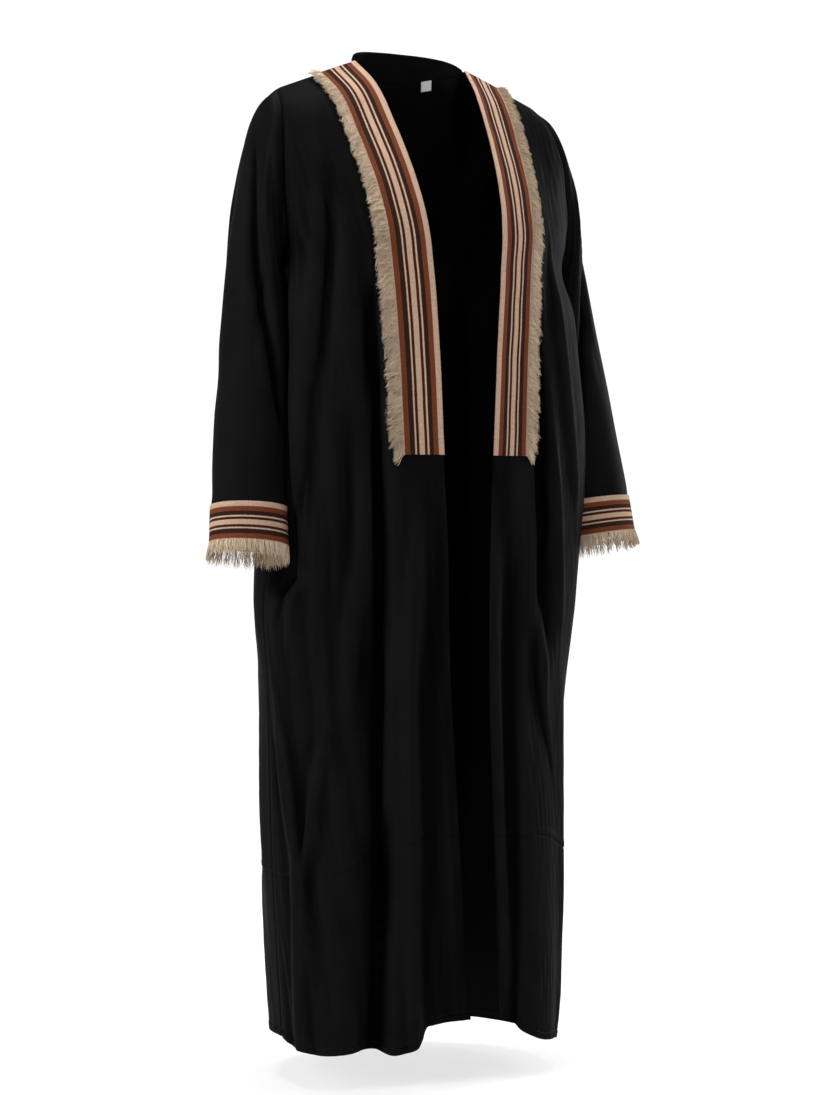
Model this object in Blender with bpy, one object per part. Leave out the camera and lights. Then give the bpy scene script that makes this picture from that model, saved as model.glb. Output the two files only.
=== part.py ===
"""An open-fronted abaya, hollow as worn, with a striped braid and a fringe along its fronts and cuffs.

Metres, +Z up. The origin lies between the shoulders, level with the points where the shoulder seams
meet the neck; +X is the wearer's left and -Y is the front. A level is a distance down the cloth from
the shoulder seam: 0 at that seam, UNDERARM at the underarm and LENGTH at the hem.
"""

import bpy
import numpy as np

# Driving sizes
LENGTH = 1.37
UNDERARM = 0.30
BRAID_END = 0.555
TIER = 1.08
TIER_DIP = 0.05
CLOTH = 0.0016
SEAM_GAP = 0.0003
BRAID_WIDTH = 0.064
BRAID_WALL = 0.0018
CUFF_BRAID = 0.056
FRINGE_STRIP = 0.003
FRINGE_WALL = 0.0014
FRONT_FRINGE = 0.016
CUFF_FRINGE = 0.031
NECK_WIDTH = 0.176
NECK_DEPTH = 0.068
NECK_DROP = 0.012
NECKBAND_HEIGHT = 0.040
NECKBAND_LEAN = 0.010
NECKBAND_FROM_SEAM = 0.045
NECKBAND_ROUNDING = 1.9
LABEL_SIZE = 0.015
LABEL_WALL = 0.0008
LABEL_TURNS = (0.50, 0.38)
LABEL_INWARD = 0.004
LABEL_BELOW_SEAM = 0.002

# Share of half the back's width that the shoulder seam takes, and the level over which it eases in
SHOULDER_SHARE = 0.45
SHOULDER_EASE = 0.10
# The tier's seam dips over this level above it, between these distances from the front edge
DIP_ABOVE = 0.40
DIP_FROM = 0.06
DIP_TO = 0.24
# A lock of the front fringe: how far it droops and stands off, and how much its droop and length vary
FRONT_DROOP = 0.35
FRONT_DROOP_CHANGE = 0.08
FRONT_STAND_OFF = 0.16
FRONT_LENGTH_CHANGE = 0.12
FRONT_LOCK_END = 0.55
FRONT_FRINGE_TOP = 0.02
FRONT_FRINGE_PAST_END = 0.15
# A lock of a cuff's fringe: its flare next to the body and what that gains towards the outer side, between
# these sideways parts of the outward direction
CUFF_FLARE = 0.02
CUFF_FLARE_CHANGE = 0.16
CUFF_FLARE_RISE = (-0.9, 0.1)
CUFF_LENGTH_CHANGE = 0.07
CUFF_LOCK_END = 0.60
# Steps in radians from one lock to the next, which make droop and length uneven
DROOP_WAVE = 2.1
LENGTH_WAVE = 3.7

# How finely the solids are divided
ARMHOLE_ROWS = 8
BRAID_ROWS = 8
SKIRT_ROWS = 13
BAND_ROWS = 5
BRAID_COLUMNS = 4
FRONT_SHARES = (
    *(0.04, 0.08, 0.12, 0.165, 0.21, 0.26, 0.31, 0.37),
    *(0.43, 0.49, 0.55, 0.61, 0.68, 0.77, 0.88, 1.0),
)
SHOULDER_COLUMNS = 5
NECK_COLUMNS = 5
SLEEVE_RINGS = 18
CUFF_RINGS = 3
ARC_STEPS = 64
FRONT_LOCKS = 64
CUFF_LOCKS_A_SIDE = 2
BRAID_ROW = ARMHOLE_ROWS + BRAID_ROWS
SEAM_ROW = BRAID_ROW + SKIRT_ROWS

# Front edges: level, place of the edge (x towards its own side), and the handle that the section leaves it by
EDGE_TOP = (
    (0.000, 0.0880, 0.000, 0.000, 0.040, 0.002, -0.015),
    (0.045, 0.0790, -0.045, -0.036, 0.046, 0.016, -0.013),
    (0.110, 0.0725, -0.092, -0.099, 0.055, 0.024, -0.006),
    (0.180, 0.0650, -0.138, -0.178, 0.070, 0.018, 0.000),
    (0.250, 0.0580, -0.162, -0.250, 0.085, 0.012, 0.000),
    (0.300, 0.0535, -0.166, -0.300, 0.095, 0.016, 0.000),
    (0.410, 0.0458, -0.169, -0.410, 0.110, 0.022, 0.000),
    (0.555, 0.0390, -0.170, -0.555, 0.120, 0.018, 0.000),
)
EDGE_RIGHT = EDGE_TOP + (
    (0.660, 0.0333, -0.171, -0.660, 0.125, 0.004, 0.000),
    (0.800, 0.0280, -0.166, -0.800, 0.125, -0.004, 0.000),
    (1.000, 0.0070, -0.146, -0.998, 0.130, -0.026, 0.000),
    (1.170, -0.0205, -0.117, -1.160, 0.130, -0.040, 0.000),
    (1.370, -0.0530, -0.080, -1.341, 0.130, -0.045, 0.000),
)
EDGE_LEFT = EDGE_TOP + (
    (0.700, 0.0340, -0.169, -0.700, 0.120, 0.004, 0.000),
    (0.890, 0.0360, -0.165, -0.890, 0.110, -0.012, 0.000),
    (1.050, 0.0480, -0.153, -1.048, 0.080, -0.036, 0.000),
    (1.210, 0.0680, -0.131, -1.203, 0.035, -0.065, 0.000),
    (1.370, 0.0870, -0.106, -1.336, -0.010, -0.085, 0.000),
)
# Armhole and side seam as a front meets them: level, place, and the handle of the front's section
SIDE_TOP = (
    (0.000, 0.2050, 0.005, -0.045, -0.039, -0.002, 0.015),
    (0.045, 0.2125, -0.024, -0.075, -0.020, -0.030, 0.006),
    (0.110, 0.2190, -0.043, -0.128, -0.008, -0.050, 0.000),
    (0.180, 0.2200, -0.047, -0.188, 0.000, -0.055, 0.000),
    (0.250, 0.2110, -0.036, -0.252, 0.020, -0.065, 0.000),
    (0.300, 0.1950, 0.004, -0.290, 0.060, -0.085, 0.000),
    (0.340, 0.1850, 0.004, -0.340, 0.100, -0.100, 0.000),
    (0.410, 0.1840, 0.000, -0.410, 0.112, -0.112, 0.000),
    (0.500, 0.1980, -0.006, -0.500, 0.100, -0.120, 0.000),
    (0.600, 0.2130, -0.010, -0.600, 0.075, -0.115, 0.000),
    (0.680, 0.2240, -0.014, -0.680, 0.045, -0.105, 0.000),
)
SIDE_RIGHT = SIDE_TOP + (
    (0.760, 0.2370, -0.018, -0.760, 0.010, -0.100, 0.000),
    (0.850, 0.2320, -0.020, -0.850, 0.000, -0.110, 0.000),
    (1.080, 0.2250, -0.018, -1.080, 0.000, -0.125, 0.000),
    (1.370, 0.2050, -0.010, -1.370, 0.000, -0.150, 0.000),
)
SIDE_LEFT = SIDE_TOP + (
    (0.760, 0.2370, -0.018, -0.760, 0.004, -0.097, 0.000),
    (0.850, 0.2320, -0.020, -0.850, -0.012, -0.085, 0.000),
    (1.080, 0.2250, -0.018, -1.080, -0.008, -0.076, 0.000),
    (1.370, 0.2050, -0.010, -1.370, 0.002, -0.120, 0.000),
)
# The same line as the back meets it: its armhole lies further back, and below it is the side seam
BACK_ARMHOLE = (
    (0.000, 0.2050, 0.005, -0.045, -0.039, -0.002, 0.015),
    (0.045, 0.2100, 0.032, -0.076, -0.020, 0.025, 0.006),
    (0.110, 0.2150, 0.052, -0.129, -0.015, 0.035, 0.000),
    (0.180, 0.2150, 0.056, -0.188, -0.010, 0.035, 0.000),
    (0.250, 0.2080, 0.045, -0.252, 0.005, 0.045, 0.000),
    (0.300, 0.1950, 0.004, -0.290, 0.040, 0.070, 0.000),
)
BACK_HANDLE = (
    (0.300, 0.040, 0.070),
    (0.410, 0.080, 0.080),
    (0.600, 0.055, 0.090),
    (0.760, 0.010, 0.095),
    (1.080, 0.000, 0.110),
    (1.370, -0.002, 0.108),
)
# Middle of the back: level, y, z and the sideways handle
BACK_MIDDLE = (
    (0.000, 0.068, -0.012, 0.040),
    (0.045, 0.092, -0.070, 0.095),
    (0.110, 0.112, -0.140, 0.110),
    (0.180, 0.124, -0.205, 0.115),
    (0.300, 0.130, -0.310, 0.120),
    (0.600, 0.136, -0.600, 0.130),
    (0.850, 0.150, -0.850, 0.130),
    (1.080, 0.166, -1.080, 0.125),
    (1.370, 0.180, -1.370, 0.115),
)
# Sleeve rings below the armhole: run down the sleeve, outer and inner point, middle y, half depth,
# how far front and back stand out sideways, and the front's rise
SLEEVE = (
    (0.030, 0.2210, -0.0600, 0.2050, -0.2935, 0.005, 0.056, 0.018, 0.000),
    (0.070, 0.2360, -0.0950, 0.2085, -0.3005, 0.005, 0.057, 0.014, 0.000),
    (0.130, 0.2530, -0.1520, 0.2090, -0.3105, 0.004, 0.056, 0.009, 0.000),
    (0.205, 0.2690, -0.2260, 0.2070, -0.3255, 0.003, 0.055, 0.004, 0.000),
    (0.290, 0.2850, -0.3090, 0.2030, -0.3500, -0.001, 0.053, 0.000, 0.001),
    (0.380, 0.2990, -0.3990, 0.2020, -0.4100, -0.014, 0.051, 0.000, 0.003),
    (0.470, 0.3090, -0.4880, 0.2110, -0.4900, -0.029, 0.050, 0.000, 0.005),
    (0.550, 0.3190, -0.5640, 0.2210, -0.5680, -0.042, 0.048, 0.000, 0.006),
    (0.612, 0.3260, -0.6200, 0.2240, -0.6280, -0.051, 0.045, 0.000, 0.007),
    (0.664, 0.3310, -0.6660, 0.2245, -0.6770, -0.059, 0.043, 0.000, 0.007),
)
# How far each cuff hangs below or above that, and the run down the sleeve over which this comes in
CUFF_DROP = {"left": -0.0045, "right": 0.0065}
DROP_RUN = (0.20, 0.66)
# Towards the hem the cloth hangs lower on the wearer's left: slope, and the levels over which it comes in
HEM_TILT = 0.065
TILT_LEVELS = (1.0, 1.37)
SLEEVE_LENGTH = SLEEVE[-1][0]
# What the body's cloth keeps clear of: the sleeve's middle by height, and its radius with the gap round it
ARM = (
    (-0.720, 0.2810, -0.065, 0.0680),
    (-0.660, 0.2780, -0.057, 0.0650),
    (-0.600, 0.2750, -0.048, 0.0610),
    (-0.490, 0.2610, -0.029, 0.0590),
    (-0.400, 0.2505, -0.015, 0.0590),
    (-0.320, 0.2480, -0.003, 0.0560),
    (-0.270, 0.2460, 0.001, 0.0440),
)
ARM_EDGE = 0.004
ARM_RAMP = 3.0
ARM_TOP = (-0.275, -0.255)
ARM_BOTTOM = (-0.790, -0.720)

# Large folds of a panel: distance across and level at both ends, height (a trough is negative), half width
# on the side of smaller and of larger distances, and how far the fold leans over; distances run from the
# front edge or the back's middle
FOLDS_RIGHT = (
    (0.084, 0.30, 0.096, 0.86, -0.024, 0.007, 0.016, 0.000),
    (0.088, 0.70, 0.132, 1.20, -0.030, 0.009, 0.036, -0.004),
    (0.109, 1.02, 0.198, 1.60, -0.034, 0.009, 0.044, -0.008),
    (0.040, 0.60, 0.137, 1.60, 0.012, 0.018, 0.012, 0.000),
    (0.076, 0.34, 0.162, 0.96, 0.006, 0.008, 0.014, 0.000),
    (0.122, 0.14, 0.215, 0.70, -0.012, 0.016, 0.014, 0.000),
    (0.292, 0.80, 0.246, 1.14, 0.007, 0.010, 0.010, 0.000),
    (0.190, 0.92, 0.244, 1.14, 0.005, 0.010, 0.010, 0.000),
    (0.245, 1.04, 0.290, 1.40, 0.006, 0.012, 0.012, 0.000),
)
FOLDS_LEFT = (
    (0.080, 0.30, 0.108, 0.86, -0.016, 0.010, 0.014, 0.000),
    (0.078, 0.28, 0.140, 0.84, 0.006, 0.008, 0.012, 0.000),
    (0.102, 0.24, 0.172, 0.66, 0.005, 0.010, 0.012, 0.000),
    (0.034, 0.62, 0.016, 1.62, -0.012, 0.012, 0.026, 0.000),
    (0.150, 0.80, 0.160, 1.45, 0.005, 0.018, 0.018, 0.000),
    (0.215, 0.24, 0.240, 0.80, 0.005, 0.018, 0.018, 0.000),
    (0.200, 0.82, 0.200, 1.50, -0.007, 0.018, 0.018, 0.000),
)
FOLDS_BACK = (
    (-0.120, 0.16, -0.150, 1.45, 0.013, 0.024, 0.024, 0.000),
    (-0.050, 0.40, -0.055, 1.45, -0.016, 0.026, 0.026, 0.000),
    (0.045, 0.28, 0.065, 1.45, 0.014, 0.026, 0.026, 0.000),
    (0.130, 0.22, 0.150, 1.45, -0.015, 0.026, 0.026, 0.000),
    (0.190, 0.30, 0.215, 1.10, 0.012, 0.020, 0.020, 0.000),
    (-0.195, 0.34, -0.225, 1.20, -0.013, 0.022, 0.022, 0.000),
)
# How far the hem of each front hangs below a straight line, by distance from the front edge
HEM_DROP_RIGHT = (
    (0.000, 0.000),
    (0.076, 0.000),
    (0.091, 0.001),
    (0.107, 0.018),
    (0.200, 0.021),
    (0.270, 0.016),
    (0.340, 0.000),
)
HEM_DROP_LEFT = (
    (0.000, 0.000),
    (0.030, 0.005),
    (0.070, 0.010),
    (0.130, 0.004),
    (0.200, 0.000),
)
# Folds of a sleeve: turn (0 outside, 0.25 back, 0.5 inside, 0.75 front) and run at both ends, height,
# and half width as a share of a turn
FOLDS_SLEEVE = (
    (0.985, 0.080, 0.620, 0.530, -0.012, 0.032),
    (0.860, 0.030, 0.680, 0.400, 0.005, 0.030),
    (0.200, 0.060, 0.260, 0.560, 0.006, 0.070),
    (0.120, 0.100, 0.080, 0.480, -0.005, 0.060),
    (0.350, 0.160, 0.360, 0.520, -0.005, 0.070),
)
# Folds die out over this distance from a seam, over this share of their length at each end, and between
# these levels below the back's neckline
FADE = 0.035
FOLD_END = 0.22
BACK_FADE = (0.03, 0.12)

FINISHES = {
    "black_crepe": ((0.012, 0.012, 0.013), 0.82),
    "striped_braid": ((0.42, 0.28, 0.20), 0.85),
    "cream_fringe": ((0.40, 0.31, 0.21), 0.9),
    "grey_label": ((0.52, 0.52, 0.51), 0.7),
}


def eased(value, start, end):
    """0 before start, 1 after end, with a smooth change between."""
    t = np.clip((value - start) / (end - start), 0.0, 1.0)
    return t * t * (3.0 - 2.0 * t)


def along(table, at):
    """The other columns of a table at any values of its first column, joined smoothly."""
    rows = np.array(table, float)
    knots, values = rows[:, 0], rows[:, 1:]
    slopes = np.gradient(values, knots, axis=0)
    at = np.clip(np.asarray(at, float), knots[0], knots[-1])
    i = np.clip(np.searchsorted(knots, at, side="right") - 1, 0, len(knots) - 2)
    step = (knots[i + 1] - knots[i])[..., None]
    t = (at - knots[i])[..., None] / step
    first = values[i] * (2 * t**3 - 3 * t**2 + 1) + slopes[i] * step * (t**3 - 2 * t**2 + t)
    return first + values[i + 1] * (3 * t**2 - 2 * t**3) + slopes[i + 1] * step * (t**3 - t**2)


def arc_points(start, start_handle, end, end_handle, distance=None, share=None):
    """Points on a cubic arc, at distances from its start or at shares of its length, and its length."""
    t = np.linspace(0.0, 1.0, ARC_STEPS + 1)[:, None]
    a, d = start[..., None, :], end[..., None, :]
    b, c = a + start_handle[..., None, :], d + end_handle[..., None, :]
    fine = a * (1 - t) ** 3 + 3 * b * t * (1 - t) ** 2 + 3 * c * t**2 * (1 - t) + d * t**3
    steps = np.linalg.norm(np.diff(fine, axis=-2), axis=-1)
    run = np.concatenate([np.zeros(steps.shape[:-1] + (1,)), np.cumsum(steps, axis=-1)], axis=-1)
    total = run[..., -1]
    want = distance if share is None else share * total
    i = np.clip((run < want[..., None]).sum(axis=-1) - 1, 0, ARC_STEPS - 1)
    before = np.take_along_axis(run, i[..., None], -1)[..., 0]
    after = np.take_along_axis(run, i[..., None] + 1, -1)[..., 0]
    part = ((want - before) / np.maximum(after - before, 1e-9))[..., None]
    low = np.take_along_axis(fine, i[..., None, None], -2)[..., 0, :]
    high = np.take_along_axis(fine, i[..., None, None] + 1, -2)[..., 0, :]
    return low + (high - low) * part, total


def directions(grid):
    """Unit vectors across, down and outward at each point of a grid of rows and columns."""
    down = np.gradient(grid, axis=0)
    across = np.gradient(grid, axis=1)
    out = np.cross(down, across)
    out /= np.maximum(np.linalg.norm(out, axis=-1, keepdims=True), 1e-12)
    across = across / np.maximum(np.linalg.norm(across, axis=-1, keepdims=True), 1e-12)
    down = down / np.maximum(np.linalg.norm(down, axis=-1, keepdims=True), 1e-12)
    return across, down, out


def fold_heights(folds, distance, level):
    """How far the folds lift the cloth out, and push it across, at each point."""
    lift = np.zeros_like(distance)
    lean = np.zeros_like(distance)
    for from_across, from_level, to_across, to_level, height, near_width, far_width, over in folds:
        t = (level - from_level) / (to_level - from_level)
        middle = from_across + (to_across - from_across) * np.clip(t, 0.0, 1.0)
        ends = eased(t, 0.0, FOLD_END) * eased(1.0 - t, 0.0, FOLD_END)
        half_width = np.where(distance < middle, near_width, far_width)
        bell = np.exp(-(((distance - middle) / half_width) ** 2)) * ends
        lift += height * bell
        lean += over * bell
    return lift, lean


def clear_of_arm(grid):
    """Presses the cloth in beside the arm, so that it passes behind the sleeve."""
    centre = along(ARM, grid[..., 2])
    x, away = np.abs(grid[..., 0]), np.abs(grid[..., 1] - centre[..., 1])
    radius = centre[..., 2] * (1.0 - eased(grid[..., 2], *ARM_TOP)) * eased(grid[..., 2], *ARM_BOTTOM)
    inside = centre[..., 0] - np.sqrt(np.maximum(radius**2 - away**2, 0.0))
    limit = np.where(away < radius, inside, centre[..., 0] + ARM_RAMP * (away - radius))
    over = x - limit
    pressed = x - 0.5 * (over + np.sqrt(over**2 + ARM_EDGE**2)) * (radius > 0.001)
    result = grid.copy()
    result[..., 0] = np.sign(grid[..., 0]) * pressed
    return result


def tier_level(nominal, distance):
    """The level of each point: rows near the tier's seam dip away from the front edge."""
    near = eased(nominal, TIER - DIP_ABOVE, TIER) * eased(-nominal, -LENGTH, -TIER)
    return nominal + TIER_DIP * eased(distance, DIP_FROM, DIP_TO) * near


def front_grid(edge_rows, side_rows, folds, hem_drop, levels, strip, shares):
    """A front as if for the wearer's left, with rows by level and columns from its edge to its side."""
    nominal = np.repeat(levels[:, None], len(strip) + len(shares), axis=1)

    def place(level):
        edge, side = along(edge_rows, level), along(side_rows, level)
        handles = edge[..., :3], edge[..., 3:], side[..., :3], side[..., 3:]
        total = arc_points(*handles, share=np.ones(level.shape))[1]
        rest = BRAID_WIDTH + (total[:, len(strip) :] - BRAID_WIDTH) * np.array(shares)
        distance = np.concatenate([np.repeat(strip[None, :], len(levels), axis=0), rest], axis=1)
        return arc_points(*handles, distance=distance)[0], distance, total

    distance = place(nominal)[1]
    level = tier_level(nominal, distance)
    grid, distance, total = place(level)
    lift, lean = fold_heights(folds, distance, level)
    still = eased(total - distance, 0.0, FADE) * eased(level, 0.0, FADE)
    across, _, out = directions(grid)
    folded = grid + (out * lift[..., None] + across * lean[..., None]) * still[..., None]
    folded[..., 2] -= along(hem_drop, distance)[..., 0] * eased(nominal, *TILT_LEVELS)
    pressed = clear_of_arm(folded)
    at_armhole = (nominal <= UNDERARM + 1e-6) & (total - distance < 1e-6)
    pressed[at_armhole] = grid[at_armhole]
    return pressed


def neckline(turn):
    """The back neckline from the middle of the back (0) to the neck point (1), on the wearer's left."""
    angle = np.asarray(turn, float) * np.pi / 2
    x = NECK_WIDTH / 2 * np.sin(angle)
    y = NECK_DEPTH * np.cos(angle)
    z = -NECK_DROP * np.cos(angle) ** 2
    return np.stack([x, y, z], axis=-1)


def back_half(levels, shoulder, neck):
    """Half of the back, with columns from the wearer's left side to the middle."""
    count = len(shoulder) + len(neck)
    level = np.repeat(levels[:, None], count, axis=1)
    side = along(SIDE_RIGHT, level)
    handle = np.concatenate([along(BACK_HANDLE, level), np.zeros(level.shape + (1,))], axis=-1)
    armhole = along(BACK_ARMHOLE, level)
    upper = (level <= UNDERARM)[..., None]
    start = np.where(upper, armhole[..., :3], side[..., :3])
    start_handle = np.where(upper, armhole[..., 3:], handle)
    middle = along(BACK_MIDDLE, level)
    end = np.stack([np.zeros_like(level), middle[..., 0], middle[..., 1]], axis=-1)
    end_handle = np.stack([middle[..., 2], np.zeros_like(level), np.zeros_like(level)], axis=-1)
    share = np.concatenate([shoulder * SHOULDER_SHARE, SHOULDER_SHARE + neck * (1.0 - SHOULDER_SHARE)])
    share = np.repeat(share[None, :], len(levels), axis=0)
    grid = arc_points(start, start_handle, end, end_handle, share=share)[0]
    seam = np.array(SIDE_TOP[0][1:4]) * (1 - shoulder[:, None]) + neckline(1.0) * shoulder[:, None]
    top = np.concatenate([seam, neckline(1.0 - neck)])
    near_top = 1.0 - eased(level, 0.0, SHOULDER_EASE)[..., None]
    shift = top - grid[0]
    grid = grid + shift[None] * near_top
    at_armhole = levels <= UNDERARM + 1e-6
    grid[at_armhole, 0] = along(BACK_ARMHOLE, levels[at_armhole])[:, :3]
    return grid


def back_grid(levels, shoulder, neck):
    """The whole back, with columns from the wearer's left side round to the right."""
    half = back_half(levels, shoulder, neck)
    whole = np.concatenate([half, (half * (-1, 1, 1))[:, -2::-1]], axis=1)
    run = np.cumsum(np.linalg.norm(np.diff(whole, axis=1), axis=-1), axis=1)
    run = np.concatenate([np.zeros((len(levels), 1)), run], axis=1)
    middle = run[:, half.shape[1] - 1][:, None]
    level = np.repeat(levels[:, None], whole.shape[1], axis=1)
    lift, _ = fold_heights(FOLDS_BACK, middle - run, level)
    still = eased(np.minimum(run, run[:, -1:] - run), 0.0, FADE) * eased(level, *BACK_FADE)
    out = directions(whole)[2]
    folded = clear_of_arm(whole + out * (lift * still)[..., None])
    at_armhole = levels <= UNDERARM + 1e-6
    for side in (0, -1):
        folded[at_armhole, side] = whole[at_armhole, side]
    return folded


def sleeve_grid(armhole, rings, turns, drop):
    """A sleeve as if for the wearer's left: rings from the armhole to the cuff, columns round it."""
    angle = turns * 2 * np.pi
    keys = [armhole]
    for run, outer_x, outer_z, inner_x, inner_z, middle_y, half_depth, bulge, rise in SLEEVE:
        outer = np.array([outer_x, middle_y, outer_z])
        inner = np.array([inner_x, middle_y, inner_z])
        depth = np.array([0.0, half_depth, -rise])
        ring = (outer + inner) / 2 + np.cos(angle)[:, None] * (outer - inner) / 2
        ring = ring + np.sin(angle)[:, None] * depth
        ring[:, 0] += bulge * np.sin(angle) ** 2
        keys.append(ring)
    runs = np.array([0.0] + [row[0] for row in SLEEVE])
    table = np.column_stack([runs, np.array(keys).reshape(len(keys), -1)])
    grid = along(table, rings).reshape(len(rings), len(turns), 3)
    grid[..., 2] -= drop * eased(rings, *DROP_RUN)[:, None]
    out = np.cross(np.gradient(grid, axis=0), np.roll(grid, -1, axis=1) - np.roll(grid, 1, axis=1))
    out /= np.maximum(np.linalg.norm(out, axis=-1, keepdims=True), 1e-12)
    lift = np.zeros(grid.shape[:2])
    for from_turn, from_run, to_turn, to_run, height, half_width in FOLDS_SLEEVE:
        t = (rings - from_run) / (to_run - from_run)
        middle = from_turn + (to_turn - from_turn) * np.clip(t, 0.0, 1.0)
        gap = np.abs(turns[None, :] - middle[:, None])
        gap = np.minimum(gap, 1.0 - gap)
        ends = eased(t, 0.0, FOLD_END) * eased(1.0 - t, 0.0, FOLD_END)
        lift += height * np.exp(-((gap / half_width) ** 2)) * ends[:, None]
    return grid + out * lift[..., None]


def point_key(point):
    """A point rounded so that grids that share it find each other."""
    return tuple(np.round(np.asarray(point, float) * 1e5).astype(int))


def group_normals(grids, closed):
    """The outward direction at each point of a group of grids, by the point's key."""
    sums = {}
    for grid in grids:
        right = np.roll(grid, -1, axis=1) if closed else grid[:, 1:]
        left = grid if closed else grid[:, :-1]
        face = np.cross(left[1:] - right[:-1], right[1:] - left[:-1])
        for i in range(face.shape[0]):
            for j in range(face.shape[1]):
                k = (j + 1) % grid.shape[1]
                for corner in (grid[i, j], grid[i + 1, j], grid[i, k], grid[i + 1, k]):
                    key = point_key(corner)
                    sums[key] = sums.get(key, 0.0) + face[i, j]
    return {key: total / max(np.linalg.norm(total), 1e-12) for key, total in sums.items()}


def shared_normals(groups):
    """Outward directions for each grid's points; where groups meet, they point midway between the two."""
    sums = {}
    for grids, closed in groups:
        for key, normal in group_normals(list(grids.values()), closed).items():
            sums[key] = sums.get(key, 0.0) + normal
    result = {}
    for grids, _ in groups:
        for name, grid in grids.items():
            normal = np.array([sums[point_key(point)] for point in grid.reshape(-1, 3)]).reshape(grid.shape)
            result[name] = normal / np.maximum(np.linalg.norm(normal, axis=-1, keepdims=True), 1e-12)
    return result


def inset(grid, top=True, bottom=True, first=True, last=True):
    """The grid with its chosen borders drawn in by half a seam gap."""
    result = grid.copy()
    half = SEAM_GAP / 2

    def draw_in(border, inner):
        step = inner - border
        return border + step / np.maximum(np.linalg.norm(step, axis=-1, keepdims=True), 1e-12) * half

    if top:
        result[0] = draw_in(result[0], result[1])
    if bottom:
        result[-1] = draw_in(result[-1], result[-2])
    if first:
        result[:, 0] = draw_in(result[:, 0], result[:, 1])
    if last:
        result[:, -1] = draw_in(result[:, -1], result[:, -2])
    return result


def finish_material(slot):
    """The plain material of a slot."""
    material = bpy.data.materials.get(slot)
    if material is None:
        colour, roughness = FINISHES[slot]
        material = bpy.data.materials.new(slot)
        material.use_nodes = True
        shader = material.node_tree.nodes["Principled BSDF"]
        shader.inputs["Base Color"].default_value = (*colour, 1.0)
        shader.inputs["Roughness"].default_value = roughness
        shader.inputs["Metallic"].default_value = 0.0
    return material


def add_piece(name, points, faces, slot, collection):
    """One closed solid from points and faces, in the collection."""
    mesh = bpy.data.meshes.new(name)
    mesh.from_pydata([tuple(map(float, p)) for p in points], [], faces)
    mesh.validate()
    mesh.materials.append(finish_material(slot))
    piece = bpy.data.objects.new(name, mesh)
    collection.objects.link(piece)
    return piece


def add_wall(name, grid, normal, low, high, slot, collection, closed=False):
    """A wall over a grid of points, from low to high along the outward directions."""
    rows, columns = grid.shape[:2]
    points = np.concatenate([(grid + normal * high).reshape(-1, 3), (grid + normal * low).reshape(-1, 3)])
    under = rows * columns

    def at(i, j):
        return i * columns + j % columns

    flat = grid.reshape(-1, 3)
    faces = []
    for i in range(rows - 1):
        for j in range(columns if closed else columns - 1):
            a, b, c, d = at(i, j), at(i + 1, j), at(i + 1, j + 1), at(i, j + 1)
            shorter = np.linalg.norm(flat[a] - flat[c]) <= np.linalg.norm(flat[b] - flat[d])
            for triangle in ((a, b, c), (a, c, d)) if shorter else ((a, b, d), (b, c, d)):
                faces.append(triangle)
                faces.append(tuple(under + k for k in reversed(triangle)))
    for j in range(columns if closed else columns - 1):
        faces.append((at(0, j), at(0, j + 1), under + at(0, j + 1), under + at(0, j)))
        end = rows - 1
        faces.append((at(end, j + 1), at(end, j), under + at(end, j), under + at(end, j + 1)))
    if not closed:
        for i in range(rows - 1):
            faces.append((at(i + 1, 0), at(i, 0), under + at(i, 0), under + at(i + 1, 0)))
            end = columns - 1
            faces.append((at(i, end), at(i + 1, end), under + at(i + 1, end), under + at(i, end)))
    return add_piece(name, points, faces, slot, collection)


def add_fringe(name, rings, tips, slot, collection, closed=False):
    """A narrow backing strip through rings of four points, with a lock grown from each cell's last side."""
    count = len(rings)
    cells = count if closed else count - 1
    points = [point for ring in rings for point in ring]
    faces = []
    for k in range(cells):
        here, there = 4 * k, 4 * ((k + 1) % count)
        for side in range(3):
            faces.append((here + side, there + side, there + side + 1, here + side + 1))
        tip = len(points)
        points.extend(tips[k])
        root = (here + 3, there + 3, there, here)
        for side in range(4):
            after = (side + 1) % 4
            faces.append((root[side], root[after], tip + after, tip + side))
        faces.append((tip, tip + 1, tip + 2, tip + 3))
    if not closed:
        faces.append((0, 1, 2, 3))
        last = 4 * (count - 1)
        faces.append((last + 3, last + 2, last + 1, last))
    return add_piece(name, points, faces, slot, collection)


def between(grid, rows, columns):
    """Points on the flat facets of a grid, at fractional rows and columns."""
    i = np.clip(np.floor(rows).astype(int), 0, grid.shape[0] - 2)
    j = np.clip(np.floor(columns).astype(int), 0, grid.shape[1] - 2)
    s, t = (rows - i)[..., None], (columns - j)[..., None]
    upper = grid[i, j] * (1 - t) + grid[i, j + 1] * t
    lower = grid[i + 1, j] * (1 - t) + grid[i + 1, j + 1] * t
    return upper * (1 - s) + lower * s


def lock_tips(root, direction, length, narrow):
    """The four end points of a lock that starts on a root of four points."""
    middle = root.mean(axis=0)
    return middle + direction * length + (root - middle) * narrow


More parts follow.
